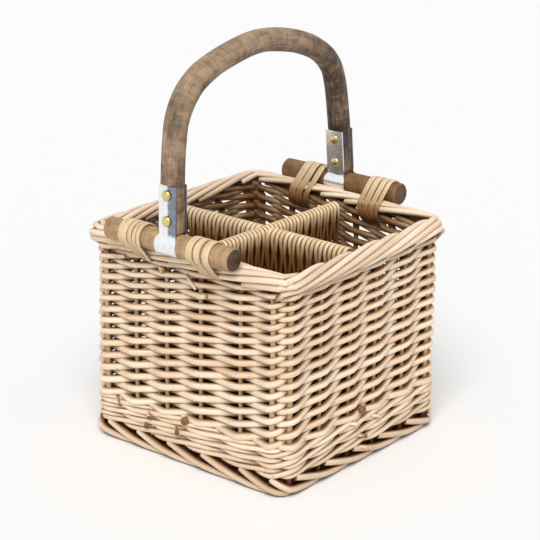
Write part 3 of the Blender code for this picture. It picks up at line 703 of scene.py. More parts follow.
def smooth_path(points, steps):
    """A smooth curve through the points, with this many stretches between each two."""
    points = [Vector(point) for point in points]
    padded = [2 * points[0] - points[1], *points, 2 * points[-1] - points[-2]]
    line = []
    for before, start, end, after in zip(padded, padded[1:], padded[2:], padded[3:]):
        for step in range(steps):
            share = step / steps
            bend = 2 * before - 5 * start + 4 * end - after
            twist = 3 * start - before - 3 * end + after
            line.append((2 * start + (end - before) * share + bend * share**2 + twist * share**3) / 2)
    return [*line, points[-1]]


def smooth_values(values, steps):
    return [place.x for place in smooth_path([(value, 0, 0) for value in values], steps)]


def clamp(value):
    """The value, held between 0 and 1."""
    return min(max(value, 0), 1)


def value_at(values, share):
    """The value at this share of the way along a list of values."""
    place = share * (len(values) - 1)
    index = min(int(place), len(values) - 2)
    return values[index] + (values[index + 1] - values[index]) * (place - index)


def wall_place(along, out, height, point_share=0.0):
    """The point at this place on the wall, round all four corners, which may be pointed."""
    quarter = math.floor(along / wall_run + 1 / 2)
    local = along - quarter * wall_run
    side = math.copysign(1, local)
    past = abs(local) - straight_half
    if past <= 0:
        x, y = local, -stake_line - out
    else:
        angle = past / CORNER_ROUND
        reach = (CORNER_ROUND + out) * (1 + point_share * (1 / math.cos(angle) - 1))
        x = side * (straight_half + reach * math.sin(angle))
        y = -straight_half - reach * math.cos(angle)
    turn = Matrix.Rotation(quarter * math.pi / 2, 3, "Z")
    return turn @ Vector((x, y, height))


def stake_along(count):
    """How far along the wall a stake stands, for any count, also between two stakes."""
    whole = math.floor(count)
    places = []
    for number in (whole, whole + 1):
        wall, index = divmod(number, STAKES_PER_WALL)
        even = wall * wall_run + (index - (STAKES_PER_WALL - 1) / 2) * stake_pitch
        places.append(even + STAKE_SHIFTS[wall % WALLS][index])
    return places[0] + (places[1] - places[0]) * (count - whole)


def band_lift(along):
    """The hand-made bands stand a little higher at the right wall than at the left one."""
    return math.cos((along - BAND_PEAK_ALONG) / full_round * 2 * math.pi)


def rim_lift(along):
    """The border dips at the near corner and stands higher at the far one."""
    return -RIM_LEAN * math.cos((along - wall_run / 2) / full_round * 2 * math.pi)


def sideways_noise(seed, travelled):
    """A smooth random vector that changes along a rod."""
    return noise.noise_vector((travelled / WOBBLE_WAVE, seed * math.pi, seed))


def hill(distance, width):
    """1 at no distance, falling to nothing a few widths away."""
    return math.exp(-((distance / width) ** 2))


def rod_frames(points, radii, facing=None, widths=None):
    """For each point, the matrix that carries a unit circle onto the rod there."""
    last = len(points) - 1
    normal = None
    tangent_before = None
    frames = []
    for index, point in enumerate(points):
        tangent = (points[min(index + 1, last)] - points[max(index - 1, 0)]).normalized()
        if facing:
            normal = facing[index]
        elif normal is None:
            normal = tangent.orthogonal()
        else:
            normal = tangent_before.rotation_difference(tangent) @ normal
        side = normal.cross(tangent).normalized()
        normal = tangent.cross(side)
        turn = Matrix((side, normal, tangent)).transposed()
        width = widths[index] if widths else radii[index]
        scale = Matrix.Diagonal((width, radii[index], 1))
        frames.append(Matrix.Translation(point) @ (turn @ scale).to_4x4())
        tangent_before = tangent
    return frames


def with_ends(values, count, shrink=1.0):
    """A value for each point, from a list or from one value, with a shrunken one added at each end."""
    if not isinstance(values, (list, tuple)):
        values = [values] * count
    return [values[0] * shrink, *values, values[-1] * shrink]


def add_rod(
    total,
    points,
    radii,
    tint,
    sides=ROD_SIDES,
    facing=None,
    widths=None,
    soften=END_SOFTENING_SHARE,
    tints=None,
    square_share=1.0,
):
    """A closed rod or strip swept along the points, with the grain place and tint that its material reads."""
    count = len(points)
    points = [Vector(point) for point in points]
    radii = with_ends(radii, count, 1 - soften)
    reaches = [radii[1] * soften, radii[-2] * soften]
    points.insert(1, points[0] + (points[1] - points[0]).normalized() * reaches[0])
    points.insert(-1, points[-1] + (points[-2] - points[-1]).normalized() * reaches[1])
    facing = with_ends(facing, count) if facing else None
    widths = with_ends(widths, count, 1 - soften) if widths else None
    tints = with_ends(tint % 1.0 if tints is None else tints, count)
    frames = rod_frames(points, radii, facing, widths)
    rod = bmesh.new()
    grain = rod.verts.layers.float_vector.new("grain_place")
    shade = rod.verts.layers.float.new("tint")
    ring = bmesh.ops.create_circle(rod, cap_ends=True, radius=1.0, segments=sides)["verts"]
    offset = tint * FAR_APART
    across = widths[1] if widths else radii[1]
    for vert in ring:
        vert.co.x = math.copysign(abs(vert.co.x) ** square_share, vert.co.x)
        vert.co.y = math.copysign(abs(vert.co.y) ** square_share, vert.co.y)
        vert[shade] = tints[0]
        vert[grain] = (offset, vert.co.x * across, vert.co.y * radii[1])
    bmesh.ops.transform(rod, matrix=frames[0], verts=ring)
    cap = rod.faces[:]
    travelled = offset
    for index in range(1, len(frames)):
        cap = bmesh.ops.extrude_discrete_faces(rod, faces=cap)["faces"]
        ring = cap[0].verts[:]
        bmesh.ops.transform(rod, matrix=frames[index] @ frames[index - 1].inverted(), verts=ring)
        travelled += (points[index] - points[index - 1]).length
        for vert in ring:
            place = vert[grain]
            place.x = travelled
            vert[grain] = place
            vert[shade] = tints[index]
    cap[0].material_index = 1
    opening = [edge for edge in rod.edges if edge.is_boundary]
    for face in bmesh.ops.holes_fill(rod, edges=opening, sides=sides)["faces"]:
        face.material_index = 1
    bmesh.ops.recalc_face_normals(rod, faces=rod.faces)
    carrier = bpy.data.meshes.new("rod")
    rod.to_mesh(carrier)
    rod.free()
    total.from_mesh(carrier)
    bpy.data.meshes.remove(carrier)


def add_stub(total, inner, outer, radius, tint):
    """A short straight rod from one place to another."""
    add_rod(total, [inner, inner.lerp(outer, 1 / 2), outer], radius, tint)


def wall_outward(point):
    """From the line of the stakes out to this place, as a distance and a level direction."""
    past = [math.copysign(max(abs(value) - straight_half, 0), value) for value in (point.x, point.y)]
    outward = Vector((*past, 0))
    return outward.length - CORNER_ROUND, outward.normalized()


def edge_shade(facing):
    """How much painted shade the side of a rod gets, where it lies against the next, from how far it faces
    out.
    """
    return clamp((EDGE_FACING_SHARE - facing) / EDGE_SOFTNESS_SHARE) * EDGE_SHARE


def depth_shade(point):
    return clamp((rim_height - DEEP_START - point.z) / DEEP_RUN)


def wall_painted_shade(point, normal):
    """How much painted shade a place in the woven walls gets: 0 on the outer face, 1 inside, and 2 deep
    inside.
    """
    out, outward = wall_outward(point)
    wale_low = foot_top + WALE_ABOVE_FOOT
    # Painted shade in the openings below the wale
    if point.z < wale_low and out < STAKE_FACE:
        return 2
    # Painted shade on cut ends that stick out of the wale
    if wale_low < point.z < siding_low and out > WALE_FACE:
        return 1 + CUT_END_SHADE
    inside = clamp((PAINTED_SHADE_START - out) / PAINTED_SHADE_DEPTH) * INSIDE_SHARE
    edge = edge_shade(abs(normal.dot(outward)))
    # Darker towards the bottom of the walls, and a painted shadow under the rim
    low_darkening_and_rim_shadow = LOW_SHADE * clamp(1 - point.z / siding_low)
    low_darkening_and_rim_shadow += UNDER_RIM_SHADE * clamp(1 - (siding_high - point.z) / UNDER_RIM_DEPTH)
    return inside * (1 + depth_shade(point)) + edge * (1 - inside / 2) + low_darkening_and_rim_shadow


def rim_painted_shade(point, normal):
    """How much painted shade a place in the border gets, by how far it faces away from the border's middle.
    """
    out, outward = wall_outward(point)
    up = point.z - rim_height
    facing = normal.dot((outward * out + Vector((0, 0, up))).normalized())
    return edge_shade(facing) + clamp(-(out + up) / rim_radius)


def divider_painted_shade(turned):
    """For one divider, how much painted shade a place in it gets: from its top downwards, and between its
    rods.
    """

    def painted_shade(point, normal):
        if max(abs(point.x), abs(point.y)) > panel_half:
            return BAR_END_SHADE
        inside = clamp((rim_height - point.z) / PAINTED_SHADE_TOP_DEPTH)
        beside = normal.x if turned else normal.y
        between = edge_shade(math.sqrt(max(1 - beside**2, 0)))
        return inside * (1 + depth_shade(point)) + LOOP_EDGE_SHARE * between

    return painted_shade


def lashing_painted_shade(point, normal):
    """How much painted shade a lashing gets, on the side that faces into the basket and below the rod."""
    inside = clamp(-wall_outward(point)[0] / rim_radius)
    under = clamp((front_rod.z - point.z) / (2 * rim_radius))
    return inside * (INSIDE_SHARE + under) * LASHING_SHADE + under / 4


def new_object(name, total):
    """The bmesh as a mesh object in the scene, at the origin."""
    mesh = bpy.data.meshes.new(name)
    total.to_mesh(mesh)
    total.free()
    made = bpy.data.objects.new(name, mesh)
    bpy.context.scene.collection.objects.link(made)
    return made


def finish_piece(total, name, body, materials, nodes, sharp_angle=SHARP_ANGLE, painted_shade=None):
    """The piece as an object at the origin that rides on its body and stands for its CAD nodes."""
    # The painted shade that the piece's materials read, per vertex
    if painted_shade:
        total.normal_update()
        layer = total.verts.layers.float.new("painted_shade")
        for vert in total.verts:
            vert[layer] = painted_shade(vert.co, vert.normal)
    piece = new_object(name, total)
    piece.data.shade_smooth()
    piece.data.set_sharp_from_angle(angle=sharp_angle)
    for material in materials:
        piece.data.materials.append(material)
    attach(piece, body)
    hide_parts(*nodes)


def finish_rods(total, name, nodes, skin="willow_skin", painted_shade=wall_painted_shade):
    """Finish a piece made of cut willow rods."""
    finish_piece(total, name, "basket", [wood(skin), wood("cut_willow")], nodes, painted_shade=painted_shade)


def wall_nodes(band):
    return [f"{band}_{side}" for side in ("front", "right", "back", "left")]


# Woven walls


def swing_at(stakes):
    """From 1 in front of a stake to -1 behind the next, along straight runs with a rounded kink at each."""
    return math.asin(KINK_SHARE * math.cos(math.pi * stakes)) / math.asin(KINK_SHARE)


def siding_bottom(along):
    return siding_low + SIDING_FIRST_ABOVE + BAND_MEAN_RISE + BAND_RISE * band_lift(along)


def siding_height(rows, along):
    """Height of the weave this many rows up. The rows get closer towards the rim, as the rods get thinner."""
    share = rows / ROWS
    eased = share * (1 + PITCH_EASE * (1 - share))
    low = siding_bottom(along)
    return low + eased * (siding_high + rim_lift(along) - SIDING_LAST_BELOW - low)


def weaver_path(start, sizes, chance):
    """One siding rod, over one stake and behind the next from the wale to the rim, with its radii."""
    points = []
    radii = []
    thickness = chance.uniform(*SIDING_THICKNESS_SHARES)
    seed = chance.uniform(0, FAR_APART)
    last = 2 * ROWS + 2
    for step in range(-STEPS_PER_STAKE, last * STEPS_PER_STAKE):
        stakes = step / STEPS_PER_STAKE
        share = max(stakes, 0) / last
        along = stake_along(start + stakes)
        radius = thickness * (sizes.weaver_butt + (sizes.weaver_tip - sizes.weaver_butt) * share) / 2
        tucked = max(stakes + 1 - last, 0)
        out = (radius + sizes.stake / 2 - WEAVE_PRESS) * swing_at(stakes) * (1 - tucked)
        wobble = sideways_noise(seed, along) * WEAVER_WOBBLE
        height = siding_height(max(stakes / 2, 0), along) + wobble.z
        points.append(wall_place(along, out + wobble.x, height))
        radii.append(radius * (1 + sideways_noise(seed + 1, along).y * SIDING_SWELL_SHARE))
    return points, radii


class BASKET_OT_siding(bpy.types.Operator):
    """Weave the siding, each rod in turn over one stake and behind the next, right round and up to the rim"""

    bl_idname = "basket.siding"
    bl_label = "Siding"

    def execute(self, context):
        chance = random.Random(3)
        total = bmesh.new()
        for start in range(stake_count):
            points, radii = weaver_path(start, context.scene.basket_sizes, chance)
            add_rod(total, points, radii, chance.uniform(0, 1) + start)
        for (from_along, from_height), (to_along, to_height), radius in LOOSE_ENDS:
            inner = wall_place(from_along, LOOSE_OUT - 2 * radius, from_height)
            outer = wall_place(to_along, LOOSE_OUT, to_height)
            add_stub(total, inner, outer, radius, from_along * TINTS_PER_METRE)
        finish_rods(total, "siding_weave", wall_nodes("siding"))
        return {"FINISHED"}


def wale_path(round_number, first, sizes, seed):
    """One wale rod, over two stakes and behind the third, within its round of the band."""
    points = []
    radii = []
    steps = round((stake_count + WALE_OVERLAP) * STEPS_PER_STAKE)
    for step in range(steps + 1):
        stakes = first + step / STEPS_PER_STAKE
        along = stake_along(stakes)
        turn = 2 * math.pi * (stakes - math.floor(first)) / WALE_RODS
        radius = sizes.wale_rod / 2 * (WALE_BUTT_SHARE - WALE_TAPER_SHARE * step / steps)
        swing = (1 - 3 * math.cos(turn) - math.cos(2 * turn)) / 3
        out = (radius + sizes.stake / 2 - WEAVE_PRESS) * swing
        low = foot_top + WALE_ABOVE_FOOT + FOOT_RISE * band_lift(along)
        high = siding_bottom(along) - SIDING_FIRST_ABOVE + sizes.wale_rod / 3
        slot = 1 / 2 - WALE_SLOT_SHARE / math.sin(math.pi / 3) * math.sin(turn)
        wobble = sideways_noise(seed, along) * WEAVER_WOBBLE
        height = low + (high - low) / WALE_ROUNDS * (round_number + slot) + wobble.z
        if step == 0:
            out += WALE_STUB
        points.append(wall_place(along, out + wobble.x, height))
        radii.append(radius)
    return points, radii


class BASKET_OT_wale(bpy.types.Operator):
    """Weave the wale, three rounds of three rods above the foot"""

    bl_idname = "basket.wale"
    bl_label = "Wale"

    def execute(self, context):
        chance = random.Random(5)
        total = bmesh.new()
        sizes = context.scene.basket_sizes
        for round_number, starts in enumerate(WALE_STARTS):
            for first in starts:
                seed = chance.uniform(0, FAR_APART)
                points, radii = wale_path(round_number, first, sizes, seed)
                add_rod(total, points, radii, seed + round_number * FAR_APART)
        radius = sizes.wale_rod / 2 * WALE_END_SHARE
        for count, height in WALE_ENDS:
            along = stake_along(count)
            inner = wall_place(along - WALE_END_LENGTH, 0, height)
            outer = wall_place(along, WALE_END_OUT, height - radius)
            add_stub(total, inner, outer, radius, count)
        finish_rods(total, "wale", wall_nodes("wale"))
        return {"FINISHED"}


class BASKET_OT_foot(bpy.types.Operator):
    """Lay the foot border, a thick rod from behind each stake down to the ground"""

    bl_idname = "basket.foot"
    bl_label = "Foot border"

    def execute(self, context):
        chance = random.Random(7)
        total = bmesh.new()
        for start in range(stake_count):
            places = []
            for share, out, height in zip(FOOT_PATH_SHARES, FOOT_OUT, FOOT_HEIGHTS):
                along = stake_along(start + share)
                places.append(wall_place(along, out, height))
            points = smooth_path(places, FOOT_STEPS)
            radii = smooth_values(FOOT_RADII, FOOT_STEPS)
            for point, radius in zip(points, radii):
                point.z = max(point.z, radius)
            add_rod(total, points, radii, chance.uniform(0, 1) + start)
        steps = stake_count * FOOT_INNER_STEPS
        for out, height in FOOT_INNER_PLACES:
            seed = height * SEEDS_PER_METRE
            points = []
            for step in range(steps + 1):
                along = full_round * step / steps
                sway = sideways_noise(seed, along) * WEAVER_WOBBLE
                points.append(wall_place(along, out + sway.x, height))
            add_rod(total, points, FOOT_INNER_RADIUS, seed, THIN_ROD_SIDES)
        finish_rods(total, "foot_rods", ["foot_border"])
        return {"FINISHED"}


class BASKET_OT_stakes(bpy.types.Operator):
    """Stand the stakes, six to a wall"""

    bl_idname = "basket.stakes"
    bl_label = "Stakes"

    def execute(self, context):
        chance = random.Random(11)
        total = bmesh.new()
        sizes = context.scene.basket_sizes
        low = base_low[2]
        for count in range(stake_count):
            at_corner = count % STAKES_PER_WALL in (0, STAKES_PER_WALL - 1)
            radius = (sizes.corner_stake if at_corner else sizes.stake) / 2
            seed = chance.uniform(0, FAR_APART)
            points = []
            for step in range(STAKE_STEPS + 1):
                height = low + (stake_top - low) * step / STAKE_STEPS
                sway = sideways_noise(seed, height) * WEAVER_WOBBLE
                points.append(wall_place(stake_along(count) + sway.x, sway.y, height))
            add_rod(total, points, radius, chance.uniform(0, 1) + count, THIN_ROD_SIDES)
        nodes = [f"{wall}_{number + 1}" for wall in wall_nodes("stake") for number in range(STAKES_PER_WALL)]
        finish_rods(total, "stakes", nodes, "stake_skin")
        return {"FINISHED"}


def rim_rod_path(count, chance):
    """One border rod: out of the weave at its stake, along under the rim, over its top and down inside."""
    start = stake_along(count)
    spare = start - full_round / stake_count * (count - (STAKES_PER_WALL - 1) / 2)
    twist_per_metre = RIM_TWIST * stake_count / full_round
    first_angle = RIM_START_ANGLE + twist_per_metre * spare
    end_wall = (count + RIM_RUN_STAKES) // STAKES_PER_WALL % WALLS
    last_angle = RIM_END_ANGLES[end_wall] + chance.uniform(-1, 1) * RIM_END_SPREAD
    run = (last_angle - first_angle) / twist_per_metre
    steps = round(run / RIM_STEP)
    entry = first_angle + twist_per_metre * STAKE_BEND
    points = [
        wall_place(start - STAKE_BEND / 5, -STAKE_BEND / 4, rim_height - 2 * RIM_RING_RADIUS - STAKE_BEND),
        wall_place(start, 0, rim_height - 2 * RIM_RING_RADIUS + rim_lift(start)),
    ]
    for step in range(steps + 1):
        travelled = STAKE_BEND + (run - STAKE_BEND) * step / steps
        angle = entry + (last_angle - entry) * step / steps
        tip = max(step / steps - 1 + RIM_TIP_SHARE, 0) / RIM_TIP_SHARE
        reach = RIM_RING_RADIUS * (1 - RIM_TUCK_SHARE * tip**2)
        height = rim_height + reach * math.sin(angle) + rim_lift(start + travelled)
        points.append(wall_place(start + travelled, reach * math.cos(angle), height, RIM_POINT_SHARE))
    butt = RIM_ROD_RADIUS * chance.uniform(*RIM_THICKNESS_SHARES)
    last = len(points) - 1
    radii = [butt * (RIM_BUTT_SHARE - RIM_TAPER_SHARE * index / last) for index in range(last + 1)]
    return points, radii


class BASKET_OT_rim(bpy.types.Operator):
    """Roll the border, each stake's rod along the rim, over it and down on the inside"""

    bl_idname = "basket.rim"
    bl_label = "Rim"

    def execute(self, context):
        chance = random.Random(13)
        total = bmesh.new()
        for count in range(stake_count):
            points, radii = rim_rod_path(count, chance)
            add_rod(total, points, radii, chance.uniform(0, 1) + count)
        finish_rods(total, "rim_rods", wall_nodes("rim"), painted_shade=rim_painted_shade)
        return {"FINISHED"}


# Base and dividers


class BASKET_OT_base(bpy.types.Operator):
    """Weave the base, thin rods over and under its three sticks"""

    bl_idname = "basket.base"
    bl_label = "Base"

    def execute(self, context):
        chance = random.Random(17)
        total = bmesh.new()
        half_x, half_y = base_high[0], base_high[1]
        middle = (base_low[2] + base_high[2]) / 2
        nodes = [f"base_stick_{number + 1}" for number in range(BASE_STICKS)]
        sticks = [node_middle(node).x for node in nodes]
        pitch = sticks[1] - sticks[0]
        for count, x in enumerate(sticks):
            stations = range(BASE_STICK_STEPS + 1)
            places = [(x, half_y * (2 * step / BASE_STICK_STEPS - 1), middle) for step in stations]
            add_rod(total, places, BASE_STICK_RADIUS, count / 2, THIN_ROD_SIDES)
        swing = (base_high[2] - base_low[2]) / 2 - BASE_WEAVER_RADIUS
        rows = int(2 * half_y / BASE_WEAVER_PITCH)
        for row in range(rows):
            y = (row + 1 / 2 - rows / 2) * BASE_WEAVER_PITCH
            points = []
            for step in range(BASE_WEAVER_STEPS + 1):
                x = half_x * (2 * step / BASE_WEAVER_STEPS - 1)
                height = middle + swing * math.cos(math.pi * (x / pitch + row))
                points.append((x, y + sideways_noise(row, x).y * WEAVER_WOBBLE, height))
            radius = BASE_WEAVER_RADIUS * chance.uniform(*BASE_THICKNESS_SHARES)
            add_rod(total, points, radius, chance.uniform(0, 1) + row, THIN_ROD_SIDES)
        finish_rods(total, "woven_base", ["base_weave", *nodes], "divider_skin")
        return {"FINISHED"}


def divider_loop(offset, count, bar, top, low_bar, bar_radius, low_radius, chance):
    """One thin rod bent over the top bar, as (along, across, height) points, with its radii and tints."""
    seed = chance.uniform(0, FAR_APART)
    lean = chance.uniform(-1, 1) * LOOP_SLANT / 2
    over = bar_radius + LOOP_RADIUS
    leg_out = panel_thickness / 2 - LEG_RADIUS
    drop = bar.z - panel_foot
    steps = round(drop / LEG_STEP)
    points = []
    radii = []
    tints = []
    shade = chance.uniform(0, LOOP_TINT)

    def leg(side, step):
        depth = drop * step / steps
        height = bar.z - depth
        settled = 1 - hill(depth, LEG_STEP)
        wave = math.sin(2 * math.pi * depth / LEG_WAVE_LENGTH + math.pi * count)
        along = offset + side * LOOP_SLANT + (LEG_WAVE * wave + lean) * settled
        along += sideways_noise(seed + side, height).x * LEG_WAVE
        out = over + (leg_out - over) * settled
        out += (low_radius + LEG_RADIUS - leg_out) * hill(height - low_bar.z, LEG_STEP)
        points.append((along, side * out, height))
        radii.append(LEG_RADIUS + (LOOP_RADIUS - LEG_RADIUS) * hill(depth, LEG_STEP))
        # Painted shade: the legs get darker lower down
        tints.append(min(shade + LEG_PAINTED_SHADE * min(depth / (3 * LEG_STEP), 1.0), 1.0))

    for step in range(steps, 0, -1):
        leg(-1, step)
    for step in range(LOOP_BEND_STEPS + 1):
        angle = math.pi * step / LOOP_BEND_STEPS
        along = offset - LOOP_SLANT * math.cos(angle)
        height = bar.z + (top - LOOP_RADIUS - bar.z) * math.sin(angle)
        points.append((along, -over * math.cos(angle), height))
        radii.append(LOOP_RADIUS)
        tints.append(shade)
    for step in range(1, steps + 1):
        leg(1, step)
    return points, radii, tints


class BASKET_OT_dividers(bpy.types.Operator):
    """Bend thin rods over the top bars of the two crossed dividers, with a low bar through each"""

    bl_idname = "basket.dividers"
    bl_label = "Dividers"

    def execute(self, context):
        chance = random.Random(19)
        crossing = node_middle("divider_top_bar_long").x
        for name, turned in (("long", False), ("cross", True)):
            nodes = [f"divider_{name}", f"divider_top_bar_{name}", f"divider_low_bar_{name}"]
            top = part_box(nodes[0])[1][2]
            bar, low_bar = node_middle(nodes[1]), node_middle(nodes[2])
            bar_radius, low_radius = (node_size(node).z / 2 for node in nodes[1:])
            low_half = max(node_size(nodes[2])) / 2
            total = bmesh.new()

            def place(point):
                along, across, height = point
                return (along, bar.y + across, height) if turned else (bar.x - across, along, height)

            loops = int(2 * panel_half / LOOP_PITCH)
            for count in range(loops):
                offset = (count + 1 / 2 - loops / 2) * LOOP_PITCH
                if turned and abs(offset - crossing) < CROSSING_HALF:
                    continue
                loop = divider_loop(offset, count, bar, top, low_bar, bar_radius, low_radius, chance)
                points, radii, tints = loop
                tint = chance.uniform(0, 1) + count
                add_rod(total, [place(point) for point in points], radii, tint, THIN_ROD_SIDES, tints=tints)
            for half, height, radius in (
                (panel_half, bar.z, bar_radius),
                (low_half, low_bar.z, low_radius),
            ):
                points = []
                for step in range(BAR_STEPS + 1):
                    along = half * (2 * step / BAR_STEPS - 1)
                    sway = sideways_noise(height * SEEDS_PER_METRE, along) * WEAVER_WOBBLE
                    points.append(place((along, sway.x, height + sway.y)))
                add_rod(total, points, radius, chance.uniform(0, 1) + BAR_TINT, BAR_SIDES)
            shade = divider_painted_shade(turned)
            finish_rods(total, f"divider_{name}_rods", nodes, "divider_skin", painted_shade=shade)
        return {"FINISHED"}


# Perch rods and lashings


class BASKET_OT_perches(bpy.types.Operator):
    """Saw the two short rods that the straps hang on"""

    bl_idname = "basket.perches"
    bl_label = "Perch rods"

    def execute(self, context):
        for name, shares in ROD_THICKNESS_SHARES.items():
            middle = node_middle(name)
            half = node_size(name).x / 2
            seed = half * SEEDS_PER_METRE
            points = []
            radii = []
            for step in range(ROD_STEPS + 1):
                share = step / ROD_STEPS
                x = half * (2 * share - 1)
                radius = rod_radius * value_at(shares, share)
                slack = rod_radius - radius
                sway = sideways_noise(seed, x) * slack
                points.append(middle + Vector((x, sway.y, sway.z - slack / 2)))
                radii.append(radius)
            total = bmesh.new()
            add_rod(total, points, radii, seed, FAT_ROD_SIDES, soften=ROD_END_SHARE, tints=ROD_TINT)
            materials = [wood(f"{name}_wood"), wood(f"{name}_end")]
            finish_piece(total, f"{name}_stick", "basket", materials, [name])
        return {"FINISHED"}


def wrap_line(margin):
    """A line pulled round rim and rod, as (out, up, facing out, facing up), from under the rim and back."""
    rod_out = -front_rod.y - stake_line
    rod_up = front_rod.z - rim_height
    seat = math.atan2(rod_up, rod_out)
    rim_reach = rim_radius + margin
    rod_reach = rod_radius + margin
    spread_angle = math.acos((rim_reach - rod_reach) / math.hypot(rod_out, rod_up))
    line = []

    def arc(middle_out, middle_up, reach, start, end):
        for step in range(WRAP_STEPS + 1):
            angle = start + (end - start) * step / WRAP_STEPS
            facing = (math.cos(angle), math.sin(angle))
            line.append((middle_out + reach * facing[0], middle_up + reach * facing[1], *facing))

    arc(0, 0, rim_reach, WRAP_START, seat - spread_angle)
    arc(rod_out, rod_up, rod_reach, seat - spread_angle, seat + spread_angle)
    arc(0, 0, rim_reach, seat + spread_angle, WRAP_START + 2 * math.pi)
    return line


class BASKET_OT_lashings(bpy.types.Operator):
    """Wind flat cane round rod and rim, two lashings to a rod"""

    bl_idname = "basket.lashings"
    bl_label = "Lashings"

    def execute(self, context):
        chance = random.Random(23)
        for name, turns in LASHING_TURN_SHARES.items():
            facing_out = -1 if name.startswith("front") else 1
            middle = node_middle(name).x
            tight = LASHING_PINCH_SHARES.get(name, PINCH_SHARE)
            slant = LASHING_SLANTS[name]
            seat_height = front_rod.z - rim_height - (rod_radius if facing_out < 0 else 0)
            total = bmesh.new()
            for number, (left, right) in enumerate(turns):
                half_width = (right - left) / 2 * lashing_width
                offset = (right + left) / 2 * lashing_width
                points = []
                facing = []
                for out, up, face_out, face_up in wrap_line(CANE_CLEARANCE + CANE_HALF_THICKNESS):
                    pinch = tight + (1 - tight) * clamp((up + rim_radius) / (2 * rim_radius))
                    layer = (1 - pinch) * CANE_HALF_THICKNESS * CANE_LAYERS * (number % 2)
                    below = clamp((seat_height - up) / (2 * rim_radius))
                    x = middle + offset * pinch + slant * below
                    x += sideways_noise(number, up * 3).x * WEAVER_WOBBLE
                    y = facing_out * (stake_line + out + face_out * layer)
                    points.append(Vector((x, y, rim_height + up + face_up * layer)))
                    facing.append(Vector((0, facing_out * face_out, face_up)))
                strip = {"facing": facing, "widths": half_width, "square_share": CANE_SQUARE_SHARE}
                tint = chance.uniform(0, 1) + number
                add_rod(total, points, CANE_HALF_THICKNESS, tint, CANE_SIDES, **strip)
            skin = [wood("cane_skin")] * 2
            finish_piece(total, f"{name}_cane", "basket", skin, [name], painted_shade=lashing_painted_shade)
        return {"FINISHED"}


# Handle


def leg_frames():
    """For each leg, the matrix that stands it on its rod, leaning as it does."""
    front = Matrix.Translation((front_strap.x, front_rod.y, front_rod.z))
    back = Matrix.Translation((back_strap.x, back_rod.y, back_rod.z))
    return {"front": front, "back": back @ Matrix.Rotation(BACK_LEG_LEAN, 4, "X")}


def bail_line():
    """The bail's centre line, up the front leg, over the arch and down the back leg."""
    frames = leg_frames()
    foot = Vector((0, 0, rod_radius + STRAP_FIT + BAIL_SEAT_GAP))
    shoulder = Vector((0, 0, strap_rise + SHOULDER_RELIEF))
    below = shoulder - Vector((0, 0, SHOULDER_STEP))
    arch = []
    for across, up in ARCH_SHARES:
        x = front_strap.x + (back_strap.x - front_strap.x) * (across + 1) / 2
        height = BAIL_SHOULDER + up * (BAIL_TOP - BAIL_SHOULDER)
        arch.append(Vector((x, across * back_rod.y, height)))
    front, back = frames["front"], frames["back"]
    line = smooth_path([front @ foot, front @ shoulder, *arch, back @ shoulder, back @ foot], BAIL_STEPS)
    legs = {}
    for name, frame_matrix in frames.items():
        places = [foot.lerp(below, step / LEG_STEPS) for step in range(LEG_STEPS + 1)]
        legs[name] = [frame_matrix @ place for place in places]
    return [*legs["front"], *line[BAIL_STEPS:-BAIL_STEPS], *reversed(legs["back"])]


class BASKET_OT_bail(bpy.types.Operator):
    """Bend the bail from one stick, its two ends pared flat for the straps"""

    bl_idname = "basket.bail"
    bl_label = "Bail"

    def execute(self, context):
        points = bail_line()
        last = len(points) - 1
        radii = []
        tints = []
        for index, point in enumerate(points):
            share = index / last
            radius = BAIL_RADIUS * value_at(BAIL_THICKNESS_SHARES, share)
            radii.append(radius * (1 + sideways_noise(BAIL_SEED, share).x * BAIL_SWELL_SHARE))
            tints.append(value_at(BAIL_TINTS, share))
        total = bmesh.new()
        add_rod(total, points, radii, BAIL_GRAIN, FAT_ROD_SIDES, soften=ROD_END_SHARE / 2, tints=tints)
        shoulder = strap_rise + SHOULDER_RELIEF - SHOULDER_STEP / 2
        seat = rod_radius + STRAP_FIT + BAIL_SEAT_GAP
        for frame_matrix in leg_frames().values():
            inward = frame_matrix.inverted()
            for vert in total.verts:
                place = inward @ vert.co
                if abs(place.x) < 2 * BAIL_RADIUS and abs(place.y) < 2 * BAIL_RADIUS and place.z < shoulder:
                    place.y = min(max(place.y, -LEG_FLAT / 2), LEG_FLAT / 2)
                    if place.z < seat + SHOULDER_RELIEF:
                        place.z += math.sqrt(seat**2 - place.y**2) - seat
                    vert.co = frame_matrix @ place
        skin = [wood("bail_skin")] * 2
        finish_piece(total, "bail_stick", "handle", skin, ["bail"], BAIL_SHARP_ANGLE)
        return {"FINISHED"}


def dent(across, past, place):
    """How deep a dent or stain is here, from 1 in its middle to 0 outside it."""
    across_share, down, width_share, length = place
    return hill(across - across_share, width_share) * hill(past - down, length)


